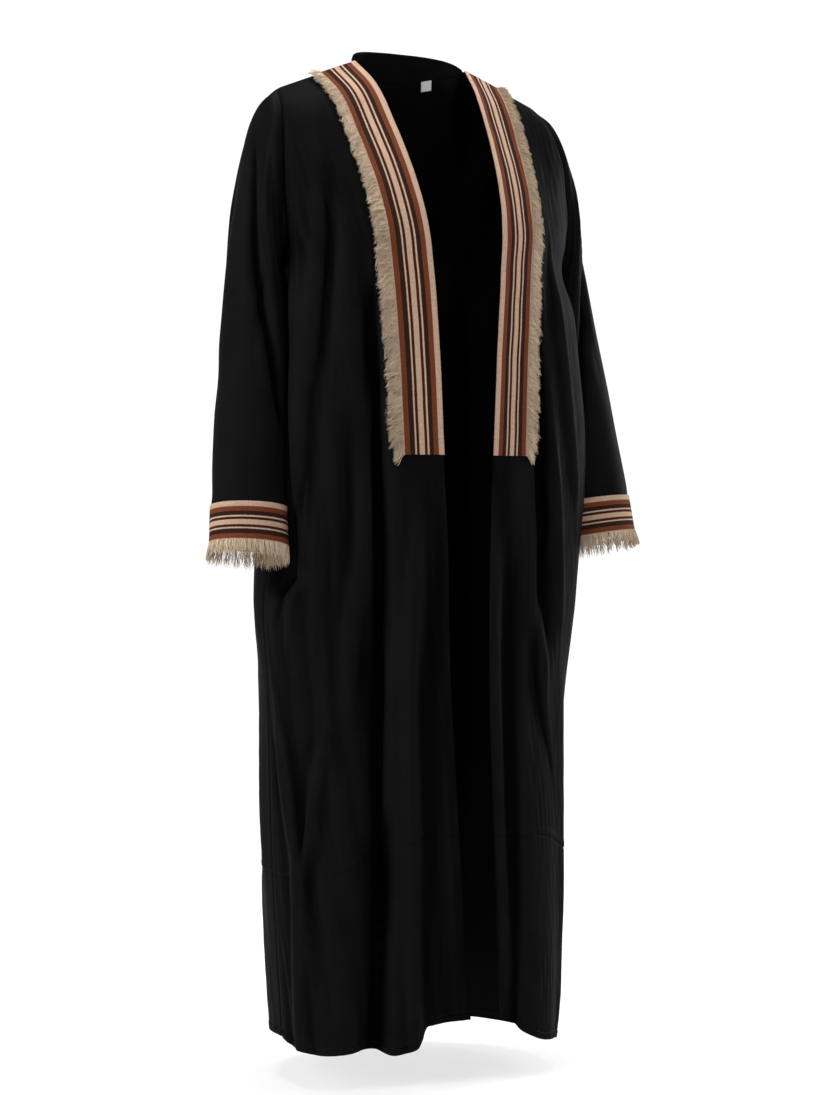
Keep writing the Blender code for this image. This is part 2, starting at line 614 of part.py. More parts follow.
def front_fringe(grid, normal, last_row):
    """The fringe along a front braid's outer edge; the grid's columns run from the front edge."""
    rows = np.linspace(FRONT_FRINGE_TOP, last_row, FRONT_LOCKS + 1)
    whole = np.full_like(rows, float(BRAID_COLUMNS))
    base = between(grid, rows, whole)
    step = np.linalg.norm(between(grid, rows, whole + 1) - base, axis=-1)
    near, far = whole + 2 * SEAM_GAP / step, whole + (2 * SEAM_GAP + FRINGE_STRIP) / step
    low, high = CLOTH / 2 + 2 * SEAM_GAP, CLOTH / 2 + 2 * SEAM_GAP + FRINGE_WALL
    inner, outer = between(grid, rows, near), between(grid, rows, far)
    inner_out, outer_out = between(normal, rows, near), between(normal, rows, far)
    under = [outer + outer_out * low, inner + inner_out * low]
    over = [inner + inner_out * high, outer + outer_out * high]
    rings = np.stack(under + over, axis=1)
    tips = []
    for k in range(FRONT_LOCKS):
        root = np.stack([rings[k, 3], rings[k + 1, 3], rings[k + 1, 0], rings[k, 0]])
        across = outer[k] - inner[k]
        down = rings[k + 1, 0] - rings[k, 0]
        across, down = across / np.linalg.norm(across), down / np.linalg.norm(down)
        droop = FRONT_DROOP + FRONT_DROOP_CHANGE * np.sin(DROOP_WAVE * k)
        direction = across + down * droop + outer_out[k] * FRONT_STAND_OFF
        direction /= np.linalg.norm(direction)
        length = FRONT_FRINGE * (1.0 - FRONT_LENGTH_CHANGE * (1.0 - np.sin(LENGTH_WAVE * k)))
        tips.append(lock_tips(root, direction, length, FRONT_LOCK_END))
    return rings, tips


def body_levels():
    """The level of each row of the fronts and the back."""
    return np.concatenate(
        [
            np.linspace(0.0, UNDERARM, ARMHOLE_ROWS + 1),
            np.linspace(UNDERARM, BRAID_END, BRAID_ROWS + 1)[1:],
            np.linspace(BRAID_END, TIER, SKIRT_ROWS + 1)[1:],
            np.linspace(TIER, LENGTH, BAND_ROWS + 1)[1:],
        ]
    )


def all_grids():
    """The middle surface of each panel and sleeve, and its outward directions, by name."""
    levels = body_levels()
    strip = np.linspace(0.0, BRAID_WIDTH, BRAID_COLUMNS + 1)
    left = front_grid(EDGE_LEFT, SIDE_LEFT, FOLDS_LEFT, HEM_DROP_LEFT, levels, strip, FRONT_SHARES)
    right = front_grid(EDGE_RIGHT, SIDE_RIGHT, FOLDS_RIGHT, HEM_DROP_RIGHT, levels, strip, FRONT_SHARES)
    shoulder = np.linspace(0.0, 1.0, SHOULDER_COLUMNS + 1)
    back = back_grid(tier_level(levels, DIP_TO), shoulder, neck_shares())

    armhole_back = back[: ARMHOLE_ROWS + 1, 0]
    armhole_front = left[: ARMHOLE_ROWS + 1, -1]
    armhole = np.concatenate([armhole_back, armhole_front[-2:0:-1]])
    turns = np.arange(2 * ARMHOLE_ROWS) / (2 * ARMHOLE_ROWS)
    cuff_top = SLEEVE_LENGTH - CUFF_BRAID
    rings = np.concatenate(
        [np.linspace(0.0, cuff_top, SLEEVE_RINGS), np.linspace(cuff_top, SLEEVE_LENGTH, CUFF_RINGS)[1:]]
    )
    mirror = np.array([-1.0, 1.0, 1.0])
    body = {"front_left": left, "front_right": (right * mirror)[:, ::-1], "back": back}
    for grid in body.values():
        grid[..., 2] -= HEM_TILT * grid[..., 0] * eased(levels, *TILT_LEVELS)[:, None]
    sleeve_left = {"sleeve_left": sleeve_grid(armhole, rings, turns, CUFF_DROP["left"])}
    sleeve = sleeve_grid(armhole, rings, turns, CUFF_DROP["right"])
    sleeve_right = {"sleeve_right": (sleeve * mirror)[:, ::-1]}
    grids = body | sleeve_left | sleeve_right
    normals = shared_normals(((body, False), (sleeve_left, True), (sleeve_right, True)))
    seam = np.array(SIDE_TOP[0][1:4]) - neckline(1.0)
    over_shoulder = np.array([-seam[2], 0.0, seam[0]]) / np.hypot(seam[0], seam[2])
    normals["front_left"][0] = over_shoulder
    normals["front_right"][0] = over_shoulder * mirror
    normals["back"][0, : SHOULDER_COLUMNS + 1] = over_shoulder
    normals["back"][0, -SHOULDER_COLUMNS - 1 :] = over_shoulder * mirror
    normals["sleeve_left"][0, 0] = over_shoulder
    normals["sleeve_right"][0, -1] = over_shoulder * mirror
    return grids, normals


def neck_shares():
    """Shares of the back neckline, from after the shoulder seam to the middle of the back."""
    return np.linspace(0.0, 1.0, NECK_COLUMNS + 1)[1:]


def add_panel(name, grid, normal, collection):
    """A front or the back down to the tier's seam, and its hem band; a front's own edge stays whole."""
    first = name != "front_left"
    last = name != "front_right"
    top = inset(grid[: SEAM_ROW + 1], first=first, last=last)
    band = inset(grid[SEAM_ROW:], bottom=False, first=first, last=last)
    add_cloth(name, top, normal[: SEAM_ROW + 1], collection)
    add_cloth("hem_band_" + name, band, normal[SEAM_ROW:], collection)


def add_cloth(name, grid, normal, collection, closed=False):
    """A wall of the black cloth about its middle surface."""
    add_wall(name, grid, normal, -CLOTH / 2, CLOTH / 2, "black_crepe", collection, closed)


def add_braid(name, grid, normal, collection, closed=False):
    """A wall of the braid, which lies on the cloth."""
    low = CLOTH / 2 + SEAM_GAP
    add_wall(name, grid, normal, low, low + BRAID_WALL, "striped_braid", collection, closed)


def add_front_trim(side, grid, normal, collection):
    """The braid along a front's edge and the fringe along the braid's outer side."""
    mirrored = side == "right"
    if mirrored:
        grid, normal = grid[:, ::-1], normal[:, ::-1]
    braid = grid[: BRAID_ROW + 1, : BRAID_COLUMNS + 1]
    braid_out = normal[: BRAID_ROW + 1, : BRAID_COLUMNS + 1]
    rings, tips = front_fringe(grid, normal, BRAID_ROW + FRONT_FRINGE_PAST_END)
    if mirrored:
        braid, braid_out = braid[:, ::-1], braid_out[:, ::-1]
        rings, tips = rings[::-1], [tip[[1, 0, 3, 2]] for tip in tips[::-1]]
    braid = inset(braid, bottom=False, first=False, last=False)
    add_braid("braid_front_" + side, braid, braid_out, collection)
    add_fringe("fringe_front_" + side, rings, tips, "cream_fringe", collection)


def add_cuff_trim(side, grid, normal, collection):
    """The braid round a cuff and the fringe that hangs from its end."""
    add_braid("braid_cuff_" + side, grid[-CUFF_RINGS:], normal[-CUFF_RINGS:], collection, closed=True)
    add_cuff_fringe("fringe_cuff_" + side, grid, normal, collection)


def add_cuff_fringe(name, grid, normal, collection):
    """The fringe that hangs from a cuff: a thin ring below the cuff's end, with locks under it."""
    count = grid.shape[1]
    cells = CUFF_LOCKS_A_SIDE * count
    place = np.arange(cells) / CUFF_LOCKS_A_SIDE
    j = place.astype(int)
    t = (place - j)[:, None]

    def round_ring(ring):
        return ring[j] * (1 - t) + ring[(j + 1) % count] * t

    end, before = round_ring(grid[-1]), round_ring(grid[-2])
    out = round_ring(normal[-1])
    out /= np.linalg.norm(out, axis=-1, keepdims=True)
    down = end - before
    down /= np.linalg.norm(down, axis=-1, keepdims=True)
    low, high = CLOTH / 2 + SEAM_GAP, CLOTH / 2 + SEAM_GAP + FRINGE_WALL
    top, bottom = end + down * SEAM_GAP, end + down * (SEAM_GAP + FRINGE_STRIP)
    rings = np.stack([bottom + out * high, top + out * high, top + out * low, bottom + out * low], axis=1)
    tips = []
    for k in range(cells):
        after = (k + 1) % cells
        root = np.stack([rings[k, 3], rings[after, 3], rings[after, 0], rings[k, 0]])
        outward = (out[k] + out[after]) / 2
        flare = CUFF_FLARE + CUFF_FLARE_CHANGE * eased(outward[0] * np.sign(end[k, 0]), *CUFF_FLARE_RISE)
        direction = down[k] + outward * flare
        direction /= np.linalg.norm(direction)
        length = CUFF_FRINGE * (1.0 - CUFF_LENGTH_CHANGE * (1.0 - np.sin(LENGTH_WAVE * k)))
        tips.append(lock_tips(root, direction, length, CUFF_LOCK_END))
    add_fringe(name, rings, tips, "cream_fringe", collection, closed=True)


def add_neckband(collection):
    """The low standing band round the back of the neck, from one neck point to the other."""
    half = np.concatenate([[NECKBAND_FROM_SEAM], neck_shares()])
    turn = np.concatenate([1.0 - half, -(1.0 - half[-2::-1])])
    angle = turn * np.pi / 2
    foot = neckline(turn)
    height = NECKBAND_HEIGHT * (1.0 - np.abs(turn) ** NECKBAND_ROUNDING)
    share = height / NECKBAND_HEIGHT
    inward = -np.stack([np.sin(angle), np.cos(angle), np.zeros_like(angle)], axis=-1)
    top = foot + inward * (NECKBAND_LEAN * share)[:, None]
    top[:, 2] += height
    rise = (top - foot) / np.linalg.norm(top - foot, axis=-1, keepdims=True)
    foot = foot + rise * (CLOTH / 2 + 2 * SEAM_GAP)
    grid = np.stack([top, (top + foot) / 2, foot])
    add_cloth("neckband_back", grid, directions(grid)[2], collection)


def add_label(collection):
    """A small bare tab that hangs inside the back neck seam."""
    top = neckline(LABEL_TURNS)
    middle = top.mean(axis=0)
    sideways = (top[1] - top[0]) / np.linalg.norm(top[1] - top[0])
    inward = np.array([-middle[0], -middle[1], 0.0])
    inward /= np.linalg.norm(inward)
    down = np.array([0.0, 0.0, -1.0])
    middle = middle + inward * LABEL_INWARD + down * LABEL_BELOW_SEAM
    rows = [middle + down * LABEL_SIZE * k for k in (0.0, 1.0)]
    grid = np.array([[row - sideways * LABEL_SIZE / 2, row + sideways * LABEL_SIZE / 2] for row in rows])
    add_wall("neck_label", grid, directions(grid)[2], 0.0, LABEL_WALL, "grey_label", collection)


def build():
    """Builds every piece of the garment."""
    for thing in list(bpy.data.objects):
        bpy.data.objects.remove(thing, do_unlink=True)
    collection = bpy.data.collections.new("abaya")
    bpy.context.scene.collection.children.link(collection)
    grids, normals = all_grids()
    for name in ("front_left", "front_right", "back"):
        add_panel(name, grids[name], normals[name], collection)
    for side in ("left", "right"):
        front, sleeve = "front_" + side, "sleeve_" + side
        cloth = inset(grids[sleeve], bottom=False, first=False, last=False)
        add_cloth(sleeve, cloth, normals[sleeve], collection, closed=True)
        add_front_trim(side, grids[front], normals[front], collection)
        add_cuff_trim(side, grids[sleeve], normals[sleeve], collection)
    add_neckband(collection)
    add_label(collection)


build()
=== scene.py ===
"""The looks of an open-fronted black abaya with a striped woven braid and a fringe, hollow as worn.

Metres, in the frame's axes: +X is the wearer's left, -Y the front and +Z up. A level is a distance down
the cloth from the shoulder seam: 0 at that seam, UNDERARM at the underarm and LENGTH at the hem.
"""

import math

import bpy
import numpy as np
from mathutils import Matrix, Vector


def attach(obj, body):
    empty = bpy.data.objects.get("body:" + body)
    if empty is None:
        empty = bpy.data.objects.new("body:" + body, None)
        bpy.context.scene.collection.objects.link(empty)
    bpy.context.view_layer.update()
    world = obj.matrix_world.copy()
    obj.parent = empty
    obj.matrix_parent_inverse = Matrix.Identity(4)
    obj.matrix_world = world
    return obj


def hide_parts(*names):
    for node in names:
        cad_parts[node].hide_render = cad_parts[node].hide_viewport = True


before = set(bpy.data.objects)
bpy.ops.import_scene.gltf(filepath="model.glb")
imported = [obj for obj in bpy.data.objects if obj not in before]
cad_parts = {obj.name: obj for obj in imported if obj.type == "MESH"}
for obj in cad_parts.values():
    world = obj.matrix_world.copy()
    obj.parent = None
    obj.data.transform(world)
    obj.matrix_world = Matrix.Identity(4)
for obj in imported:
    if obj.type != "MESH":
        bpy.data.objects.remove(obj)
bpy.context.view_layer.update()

# Takes a place on the wearer's left to the same place on the right
MIRROR = np.array([-1.0, 1.0, 1.0])

# Sizes of the garment, as its solids have them
LENGTH = 1.37
UNDERARM = 0.30
BRAID_END = 0.555
TIER = 1.08
TIER_DIP = 0.05
CLOTH = 0.0016
BRAID_WIDTH = 0.064
BRAID_WALL = 0.0018
CUFF_BRAID = 0.056
FRONT_FRINGE = 0.016
FRINGE_COVERS = 0.0085
CUFF_FRINGE = 0.031
NECK_WIDTH = 0.176
NECK_DEPTH = 0.068
NECK_DROP = 0.012
NECKBAND_HEIGHT = 0.040
NECKBAND_LEAN = 0.010
NECKBAND_FROM_SEAM = 0.045
NECKBAND_TUCK = 0.0022
NECKBAND_ROUNDING = 1.9
NECKBAND_CURVE = 1.3
NECKBAND_WAVE = (0.0006, (0.05, 0.03))
NECKBAND_STITCHED = 0.004
NECKBAND_STITCHING = (0.0007, 0.0015)
LABEL_SIZE = 0.015
LABEL_TURNS = (0.50, 0.38)
LABEL_INWARD = 0.004
LABEL_BELOW_SEAM = 0.002
LABEL_WALL = 0.0005
LABEL_CURL = 0.0010
LABEL_HOLLOW = 0.0006
SHOULDER_SHARE = 0.45
SHOULDER_EASE = 0.10
DIP_ABOVE = 0.40
DIP_FROM = 0.06
DIP_TO = 0.24

# Thin walls of the finished pieces
CLOTH_WALL = 0.0011
BRAID_CLOTH = 0.0013
HEM_DEPTH = 0.011
HEM_LINE = LENGTH - HEM_DEPTH

# Sewing: depth and half width of the dip at a set-in seam, of the tier's seam and of the hem's stitching, a
# turned edge's height and ease, the tier's allowance by distances above its seam, the height, pitch and reach
# of puckers, and the stitches
SEAM_DIP = (0.0009, 0.0025)
TIER_SEAM = (0.0011, 0.0016)
HEM_STITCHING = (0.0008, 0.0013)
TURNED_EDGE = 0.0005
TURNED_EASE = 0.002
TIER_ALLOWANCE = (0.0115, 0.0085, 0.001)
HEM_PUCKERS = (0.0004, 0.011, 0.008)
STITCH_SIZE = (0.0005, 0.00035)
STITCH_PITCH = 0.0032
STITCH_SHARE = 0.72
STITCH_LIFT = 0.0006
STITCH_MARGIN = 0.002

# How finely the pieces are divided; the body's rows are closer at the tier's seam and the hem's stitching
ROW_LEVELS = (0.0, TIER - 0.016, TIER + 0.008, HEM_LINE - 0.006, LENGTH)
ROW_SHARES = (0.66, 0.07, 0.19, 0.08)
FRONT_ROWS = 250
STRIP_COLUMNS = 14
FRONT_COLUMNS = 84
BACK_ROWS = 220
SHOULDER_COLUMNS = 26
NECK_COLUMNS = 34
SLEEVE_RINGS = 150
SLEEVE_COLUMNS = 112
BRAID_ROWS = 330
BRAID_COLUMNS = 44
CUFF_COLUMNS = 260
CUFF_ROWS = 40
ARC_STEPS = 56
FRONT_YARNS = 2400
YARNS_IN_TUFT = 10
CUFF_YARNS = 1500
NECKBAND_COLUMNS = 120
NECKBAND_ROWS = 20
LABEL_STEPS = 14

# Front edges: level, place of the edge (x towards its own side), and the handle that the section leaves it by
EDGE_TOP = (
    (0.0, 0.088, 0.0, 0.0, 0.04, 0.002, -0.015),
    (0.045, 0.079, -0.045, -0.036, 0.046, 0.016, -0.013),
    (0.11, 0.0725, -0.092, -0.099, 0.055, 0.024, -0.006),
    (0.18, 0.065, -0.138, -0.178, 0.07, 0.018, 0.0),
    (0.25, 0.058, -0.162, -0.25, 0.085, 0.012, 0.0),
    (0.3, 0.0535, -0.166, -0.3, 0.095, 0.016, 0.0),
    (0.41, 0.0458, -0.169, -0.41, 0.11, 0.022, 0.0),
    (0.555, 0.039, -0.17, -0.555, 0.12, 0.018, 0.0),
)
EDGE_RIGHT = EDGE_TOP + (
    (0.66, 0.0333, -0.171, -0.66, 0.125, 0.004, 0.0),
    (0.8, 0.028, -0.166, -0.8, 0.125, -0.004, 0.0),
    (1.0, 0.007, -0.146, -0.998, 0.13, -0.026, 0.0),
    (1.17, -0.0205, -0.117, -1.16, 0.13, -0.04, 0.0),
    (1.37, -0.053, -0.08, -1.341, 0.13, -0.045, 0.0),
)
EDGE_LEFT = EDGE_TOP + (
    (0.7, 0.034, -0.169, -0.7, 0.12, 0.004, 0.0),
    (0.89, 0.036, -0.165, -0.89, 0.11, -0.012, 0.0),
    (1.05, 0.048, -0.153, -1.048, 0.08, -0.036, 0.0),
    (1.21, 0.068, -0.131, -1.203, 0.035, -0.065, 0.0),
    (1.37, 0.087, -0.106, -1.336, -0.01, -0.085, 0.0),
)
# Armhole and side seam as a front meets them: level, place, and the handle of the front's section
SIDE_TOP = (
    (0.0, 0.205, 0.005, -0.045, -0.039, -0.002, 0.015),
    (0.045, 0.2125, -0.024, -0.075, -0.02, -0.03, 0.006),
    (0.11, 0.219, -0.043, -0.128, -0.008, -0.05, 0.0),
    (0.18, 0.22, -0.047, -0.188, 0.0, -0.055, 0.0),
    (0.25, 0.211, -0.036, -0.252, 0.02, -0.065, 0.0),
    (0.3, 0.195, 0.004, -0.29, 0.06, -0.085, 0.0),
    (0.34, 0.185, 0.004, -0.34, 0.1, -0.1, 0.0),
    (0.41, 0.184, 0.0, -0.41, 0.112, -0.112, 0.0),
    (0.5, 0.198, -0.006, -0.5, 0.1, -0.12, 0.0),
    (0.6, 0.213, -0.01, -0.6, 0.075, -0.115, 0.0),
    (0.68, 0.224, -0.014, -0.68, 0.045, -0.105, 0.0),
)
SIDE_RIGHT = SIDE_TOP + (
    (0.76, 0.237, -0.018, -0.76, 0.01, -0.1, 0.0),
    (0.85, 0.232, -0.02, -0.85, 0.0, -0.11, 0.0),
    (1.08, 0.225, -0.018, -1.08, 0.0, -0.125, 0.0),
    (1.37, 0.205, -0.01, -1.37, 0.0, -0.15, 0.0),
)
SIDE_LEFT = SIDE_TOP + (
    (0.76, 0.237, -0.018, -0.76, 0.004, -0.097, 0.0),
    (0.85, 0.232, -0.02, -0.85, -0.012, -0.085, 0.0),
    (1.08, 0.225, -0.018, -1.08, -0.008, -0.076, 0.0),
    (1.37, 0.205, -0.01, -1.37, 0.002, -0.12, 0.0),
)
# The same line as the back meets it: its armhole lies further back, and below it is the side seam
BACK_ARMHOLE = (
    (0.0, 0.205, 0.005, -0.045, -0.039, -0.002, 0.015),
    (0.045, 0.21, 0.032, -0.076, -0.02, 0.025, 0.006),
    (0.11, 0.215, 0.052, -0.129, -0.015, 0.035, 0.0),
    (0.18, 0.215, 0.056, -0.188, -0.01, 0.035, 0.0),
    (0.25, 0.208, 0.045, -0.252, 0.005, 0.045, 0.0),
    (0.3, 0.195, 0.004, -0.29, 0.04, 0.07, 0.0),
)
BACK_HANDLE = (
    (0.3, 0.04, 0.07),
    (0.41, 0.08, 0.08),
    (0.6, 0.055, 0.09),
    (0.76, 0.01, 0.095),
    (1.08, 0.0, 0.11),
    (1.37, -0.002, 0.108),
)
# Middle of the back: level, y, z and the sideways handle
BACK_MIDDLE = (
    (0.0, 0.068, -0.012, 0.04),
    (0.045, 0.092, -0.07, 0.095),
    (0.11, 0.112, -0.14, 0.11),
    (0.18, 0.124, -0.205, 0.115),
    (0.3, 0.13, -0.31, 0.12),
    (0.6, 0.136, -0.6, 0.13),
    (0.85, 0.15, -0.85, 0.13),
    (1.08, 0.166, -1.08, 0.125),
    (1.37, 0.18, -1.37, 0.115),
)
# Sleeve rings below the armhole: run down the sleeve, outer and inner point, middle y, half depth,
# how far front and back stand out sideways, and the front's rise
SLEEVE = (
    (0.03, 0.221, -0.06, 0.205, -0.2935, 0.005, 0.056, 0.018, 0.0),
    (0.07, 0.236, -0.095, 0.2085, -0.3005, 0.005, 0.057, 0.014, 0.0),
    (0.13, 0.253, -0.152, 0.209, -0.3105, 0.004, 0.056, 0.009, 0.0),
    (0.205, 0.269, -0.226, 0.207, -0.3255, 0.003, 0.055, 0.004, 0.0),
    (0.29, 0.285, -0.309, 0.203, -0.35, -0.001, 0.053, 0.0, 0.001),
    (0.38, 0.299, -0.399, 0.202, -0.41, -0.014, 0.051, 0.0, 0.003),
    (0.47, 0.309, -0.488, 0.211, -0.49, -0.029, 0.05, 0.0, 0.005),
    (0.55, 0.319, -0.564, 0.221, -0.568, -0.042, 0.048, 0.0, 0.006),
    (0.612, 0.326, -0.62, 0.224, -0.628, -0.051, 0.045, 0.0, 0.007),
    (0.664, 0.331, -0.666, 0.2245, -0.677, -0.059, 0.043, 0.0, 0.007),
)
# How far each cuff hangs below or above that, and the run down the sleeve over which this comes in
CUFF_DROP = {"left": -0.0045, "right": 0.0065}
DROP_RUN = (0.2, 0.66)
# Towards the hem the cloth hangs lower on the wearer's left: slope, and the levels over which it comes in
HEM_TILT = 0.065
TILT_LEVELS = (1.0, 1.37)
SLEEVE_LENGTH = SLEEVE[-1][0]
# What the body's cloth keeps clear of: the sleeve's middle by height, and its radius with the gap round it
ARM = (
    (-0.72, 0.281, -0.065, 0.068),
    (-0.66, 0.278, -0.057, 0.065),
    (-0.6, 0.275, -0.048, 0.061),
    (-0.49, 0.261, -0.029, 0.059),
    (-0.4, 0.2505, -0.015, 0.059),
    (-0.32, 0.248, -0.003, 0.056),
    (-0.27, 0.246, 0.001, 0.044),
)
ARM_EDGE = 0.004
ARM_RAMP = 3.0
ARM_TOP = (-0.275, -0.255)
ARM_BOTTOM = (-0.79, -0.72)

# Large folds of a panel: distance across and level at both ends, height (a trough is negative), half width
# on the side of smaller and of larger distances, and how far the fold leans over; distances run from the
# front edge or the back's middle
FOLDS_RIGHT = (
    (0.084, 0.3, 0.096, 0.86, -0.024, 0.007, 0.016, 0.0),
    (0.088, 0.7, 0.132, 1.2, -0.03, 0.009, 0.036, -0.004),
    (0.109, 1.02, 0.198, 1.6, -0.034, 0.009, 0.044, -0.008),
    (0.04, 0.6, 0.137, 1.6, 0.012, 0.018, 0.012, 0.0),
    (0.076, 0.34, 0.162, 0.96, 0.006, 0.008, 0.014, 0.0),
    (0.122, 0.14, 0.215, 0.7, -0.012, 0.016, 0.014, 0.0),
    (0.292, 0.8, 0.246, 1.14, 0.007, 0.01, 0.01, 0.0),
    (0.19, 0.92, 0.244, 1.14, 0.005, 0.01, 0.01, 0.0),
    (0.245, 1.04, 0.29, 1.4, 0.006, 0.012, 0.012, 0.0),
)
FOLDS_LEFT = (
    (0.08, 0.3, 0.108, 0.86, -0.016, 0.01, 0.014, 0.0),
    (0.078, 0.28, 0.14, 0.84, 0.006, 0.008, 0.012, 0.0),
    (0.102, 0.24, 0.172, 0.66, 0.005, 0.01, 0.012, 0.0),
    (0.034, 0.62, 0.016, 1.62, -0.012, 0.012, 0.026, 0.0),
    (0.15, 0.8, 0.16, 1.45, 0.005, 0.018, 0.018, 0.0),
    (0.215, 0.24, 0.24, 0.8, 0.005, 0.018, 0.018, 0.0),
    (0.2, 0.82, 0.2, 1.5, -0.007, 0.018, 0.018, 0.0),
)
FOLDS_BACK = (
    (-0.12, 0.16, -0.15, 1.45, 0.013, 0.024, 0.024, 0.0),
    (-0.05, 0.4, -0.055, 1.45, -0.016, 0.026, 0.026, 0.0),
    (0.045, 0.28, 0.065, 1.45, 0.014, 0.026, 0.026, 0.0),
    (0.13, 0.22, 0.15, 1.45, -0.015, 0.026, 0.026, 0.0),
    (0.19, 0.3, 0.215, 1.1, 0.012, 0.02, 0.02, 0.0),
    (-0.195, 0.34, -0.225, 1.2, -0.013, 0.022, 0.022, 0.0),
)
# How far the hem of each front hangs below a straight line, by distance from the front edge
HEM_DROP_RIGHT = (
    (0.0, 0.0),
    (0.076, 0.0),
    (0.091, 0.001),
    (0.107, 0.018),
    (0.2, 0.021),
    (0.27, 0.016),
    (0.34, 0.0),
)
HEM_DROP_LEFT = (
    (0.0, 0.0),
    (0.03, 0.005),
    (0.07, 0.01),
    (0.13, 0.004),
    (0.2, 0.0),
)
# Large folds of a sleeve: turn (0 outside, 0.25 back, 0.5 inside, 0.75 front) and run at both ends, height,
# half width as a share of a turn
FOLDS_SLEEVE = (
    (0.985, 0.08, 0.62, 0.53, -0.012, 0.032),
    (0.86, 0.03, 0.68, 0.4, 0.005, 0.03),
    (0.2, 0.06, 0.26, 0.56, 0.006, 0.07),
    (0.12, 0.1, 0.08, 0.48, -0.005, 0.06),
    (0.35, 0.16, 0.36, 0.52, -0.005, 0.07),
)
# Where the large folds come in: from the sides and a front's top, from their own ends as a share of their
# length, and from the back's top
FADE = 0.035
FOLD_END = 0.22
BACK_FADE = (0.03, 0.12)

# Where the fine creases come in: from the side seam, from a front's and the back's top, and below the braid
SIDE_EASE = 0.03
FRONT_TOP_EASE = 0.05
BACK_TOP_EASE = 0.06
BRAID_EASE = 0.02
BELOW_BRAID = (0.53, 0.60)
# Ripples of the cloth between its creases: height, and size across and down
FRONT_RIPPLES = ((0.0007, (0.055, 0.30)), (0.0002, (0.014, 0.05)))
BACK_RIPPLES = ((0.0012, (0.07, 0.32)), (0.0003, (0.015, 0.05)))
RIPPLE_TURNS = (-0.9, 0.9)
RIPPLE_RATES = (0.6, 1.5)
RIPPLE_WAVES = 7
# The sleeve's ripples: height, waves round it and their twist along it, and waves along it
SLEEVE_RIPPLE = (0.0009, 3, 16, 23)
# A crease's wandering and swelling: amount, rate along it, and shift from one crease to the next
CREASE_WANDER = (0.4, 9.0, 2.3)
CREASE_SWELL = (0.15, 14.0, 1.7)
CREASE_END = 0.25
# Finer creases of each piece: distance across and level (or run) at both ends, height, half width on the side
# of smaller and of larger distances, and how far the middle bows towards larger distances
CREASES_RIGHT = (
    (0.079, 0.5, 0.17, 1.4, 0.0034, 0.0045, 0.0028, -0.022),
    (0.036, 0.56, 0.122, 1.44, 0.0046, 0.0034, 0.014, -0.002),
    (0.064, 0.2, 0.165, 1.0, 0.002, 0.006, 0.0045, -0.005),
    (0.186, 0.56, 0.246, 0.84, 0.003, 0.004, 0.0045, -0.002),
    (0.206, 0.58, 0.262, 0.8, -0.004, 0.006, 0.007, -0.002),
    (0.298, 0.76, 0.245, 1.17, 0.0034, 0.004, 0.0036, -0.014),
    (0.176, 0.9, 0.252, 1.15, 0.0026, 0.004, 0.004, 0.0),
    (0.246, 1.06, 0.292, 1.4, 0.003, 0.006, 0.007, 0.0),
    (0.318, 1.1, 0.286, 1.42, 0.0018, 0.005, 0.005, 0.0),
    (0.196, 0.06, 0.152, 0.34, 0.0022, 0.007, 0.009, 0.01),
    (0.12, 0.08, 0.215, 0.7, 0.007, 0.012, 0.013, 0.0),
    (0.02, 0.6, 0.016, 1.3, 0.001, 0.004, 0.005, 0.004),
)
CREASES_LEFT = (
    (0.074, 0.52, 0.108, 0.94, 0.003, 0.004, 0.0028, 0.004),
    (0.08, 0.48, 0.104, 1.06, -0.006, 0.034, 0.005, 0.004),
    (0.07, 0.24, 0.146, 0.88, 0.003, 0.0036, 0.004, 0.006),
    (0.09, 0.2, 0.182, 0.7, 0.0026, 0.004, 0.004, 0.004),
    (0.125, 0.05, 0.18, 0.26, 0.0022, 0.006, 0.006, 0.0),
    (0.19, 0.14, 0.17, 0.4, -0.0022, 0.008, 0.008, 0.0),
    (0.01, 0.54, 0.006, 1.42, 0.0042, 0.009, 0.012, 0.0),
    (0.052, 0.8, 0.044, 1.44, 0.002, 0.005, 0.009, 0.002),
    (0.15, 1.06, 0.15, 1.42, 0.0018, 0.007, 0.008, 0.004),
)
CREASES_BACK = (
    (-0.16, 0.08, -0.09, 0.34, 0.0024, 0.011, 0.011, 0.0),
    (0.15, 0.08, 0.1, 0.36, 0.0022, 0.01, 0.01, 0.0),
    (-0.02, 0.2, -0.005, 0.8, 0.0016, 0.01, 0.01, 0.0),
    (0.09, 0.5, 0.11, 1.2, 0.0022, 0.008, 0.008, 0.0),
    (-0.09, 0.6, -0.1, 1.3, 0.0024, 0.009, 0.009, 0.0),
    (-0.18, 0.5, -0.185, 1.05, 0.0022, 0.008, 0.008, 0.0),
    (0.17, 0.7, 0.18, 1.36, -0.0024, 0.009, 0.009, 0.0),
    (0.01, 0.95, 0.015, 1.36, 0.002, 0.008, 0.008, 0.0),
)
CREASES_SLEEVE = (
    (0.34, 0.06, 0.232, 0.5, 0.0024, 0.004, 0.005, -0.006),
    (0.3, 0.02, 0.244, 0.44, 0.0022, 0.005, 0.004, -0.01),
    (0.285, 0.12, 0.3, 0.46, -0.002, 0.007, 0.007, 0.0),
    (0.23, 0.26, 0.24, 0.6, 0.0016, 0.007, 0.007, 0.0),
    (0.06, 0.1, 0.075, 0.54, 0.0018, 0.008, 0.008, 0.0),
    (0.11, 0.2, 0.09, 0.6, -0.0018, 0.008, 0.008, 0.0),
    (0.02, 0.34, 0.03, 0.6, 0.0016, 0.007, 0.007, 0.0),
    (0.2, 0.14, 0.18, 0.4, 0.002, 0.007, 0.007, 0.0),
)

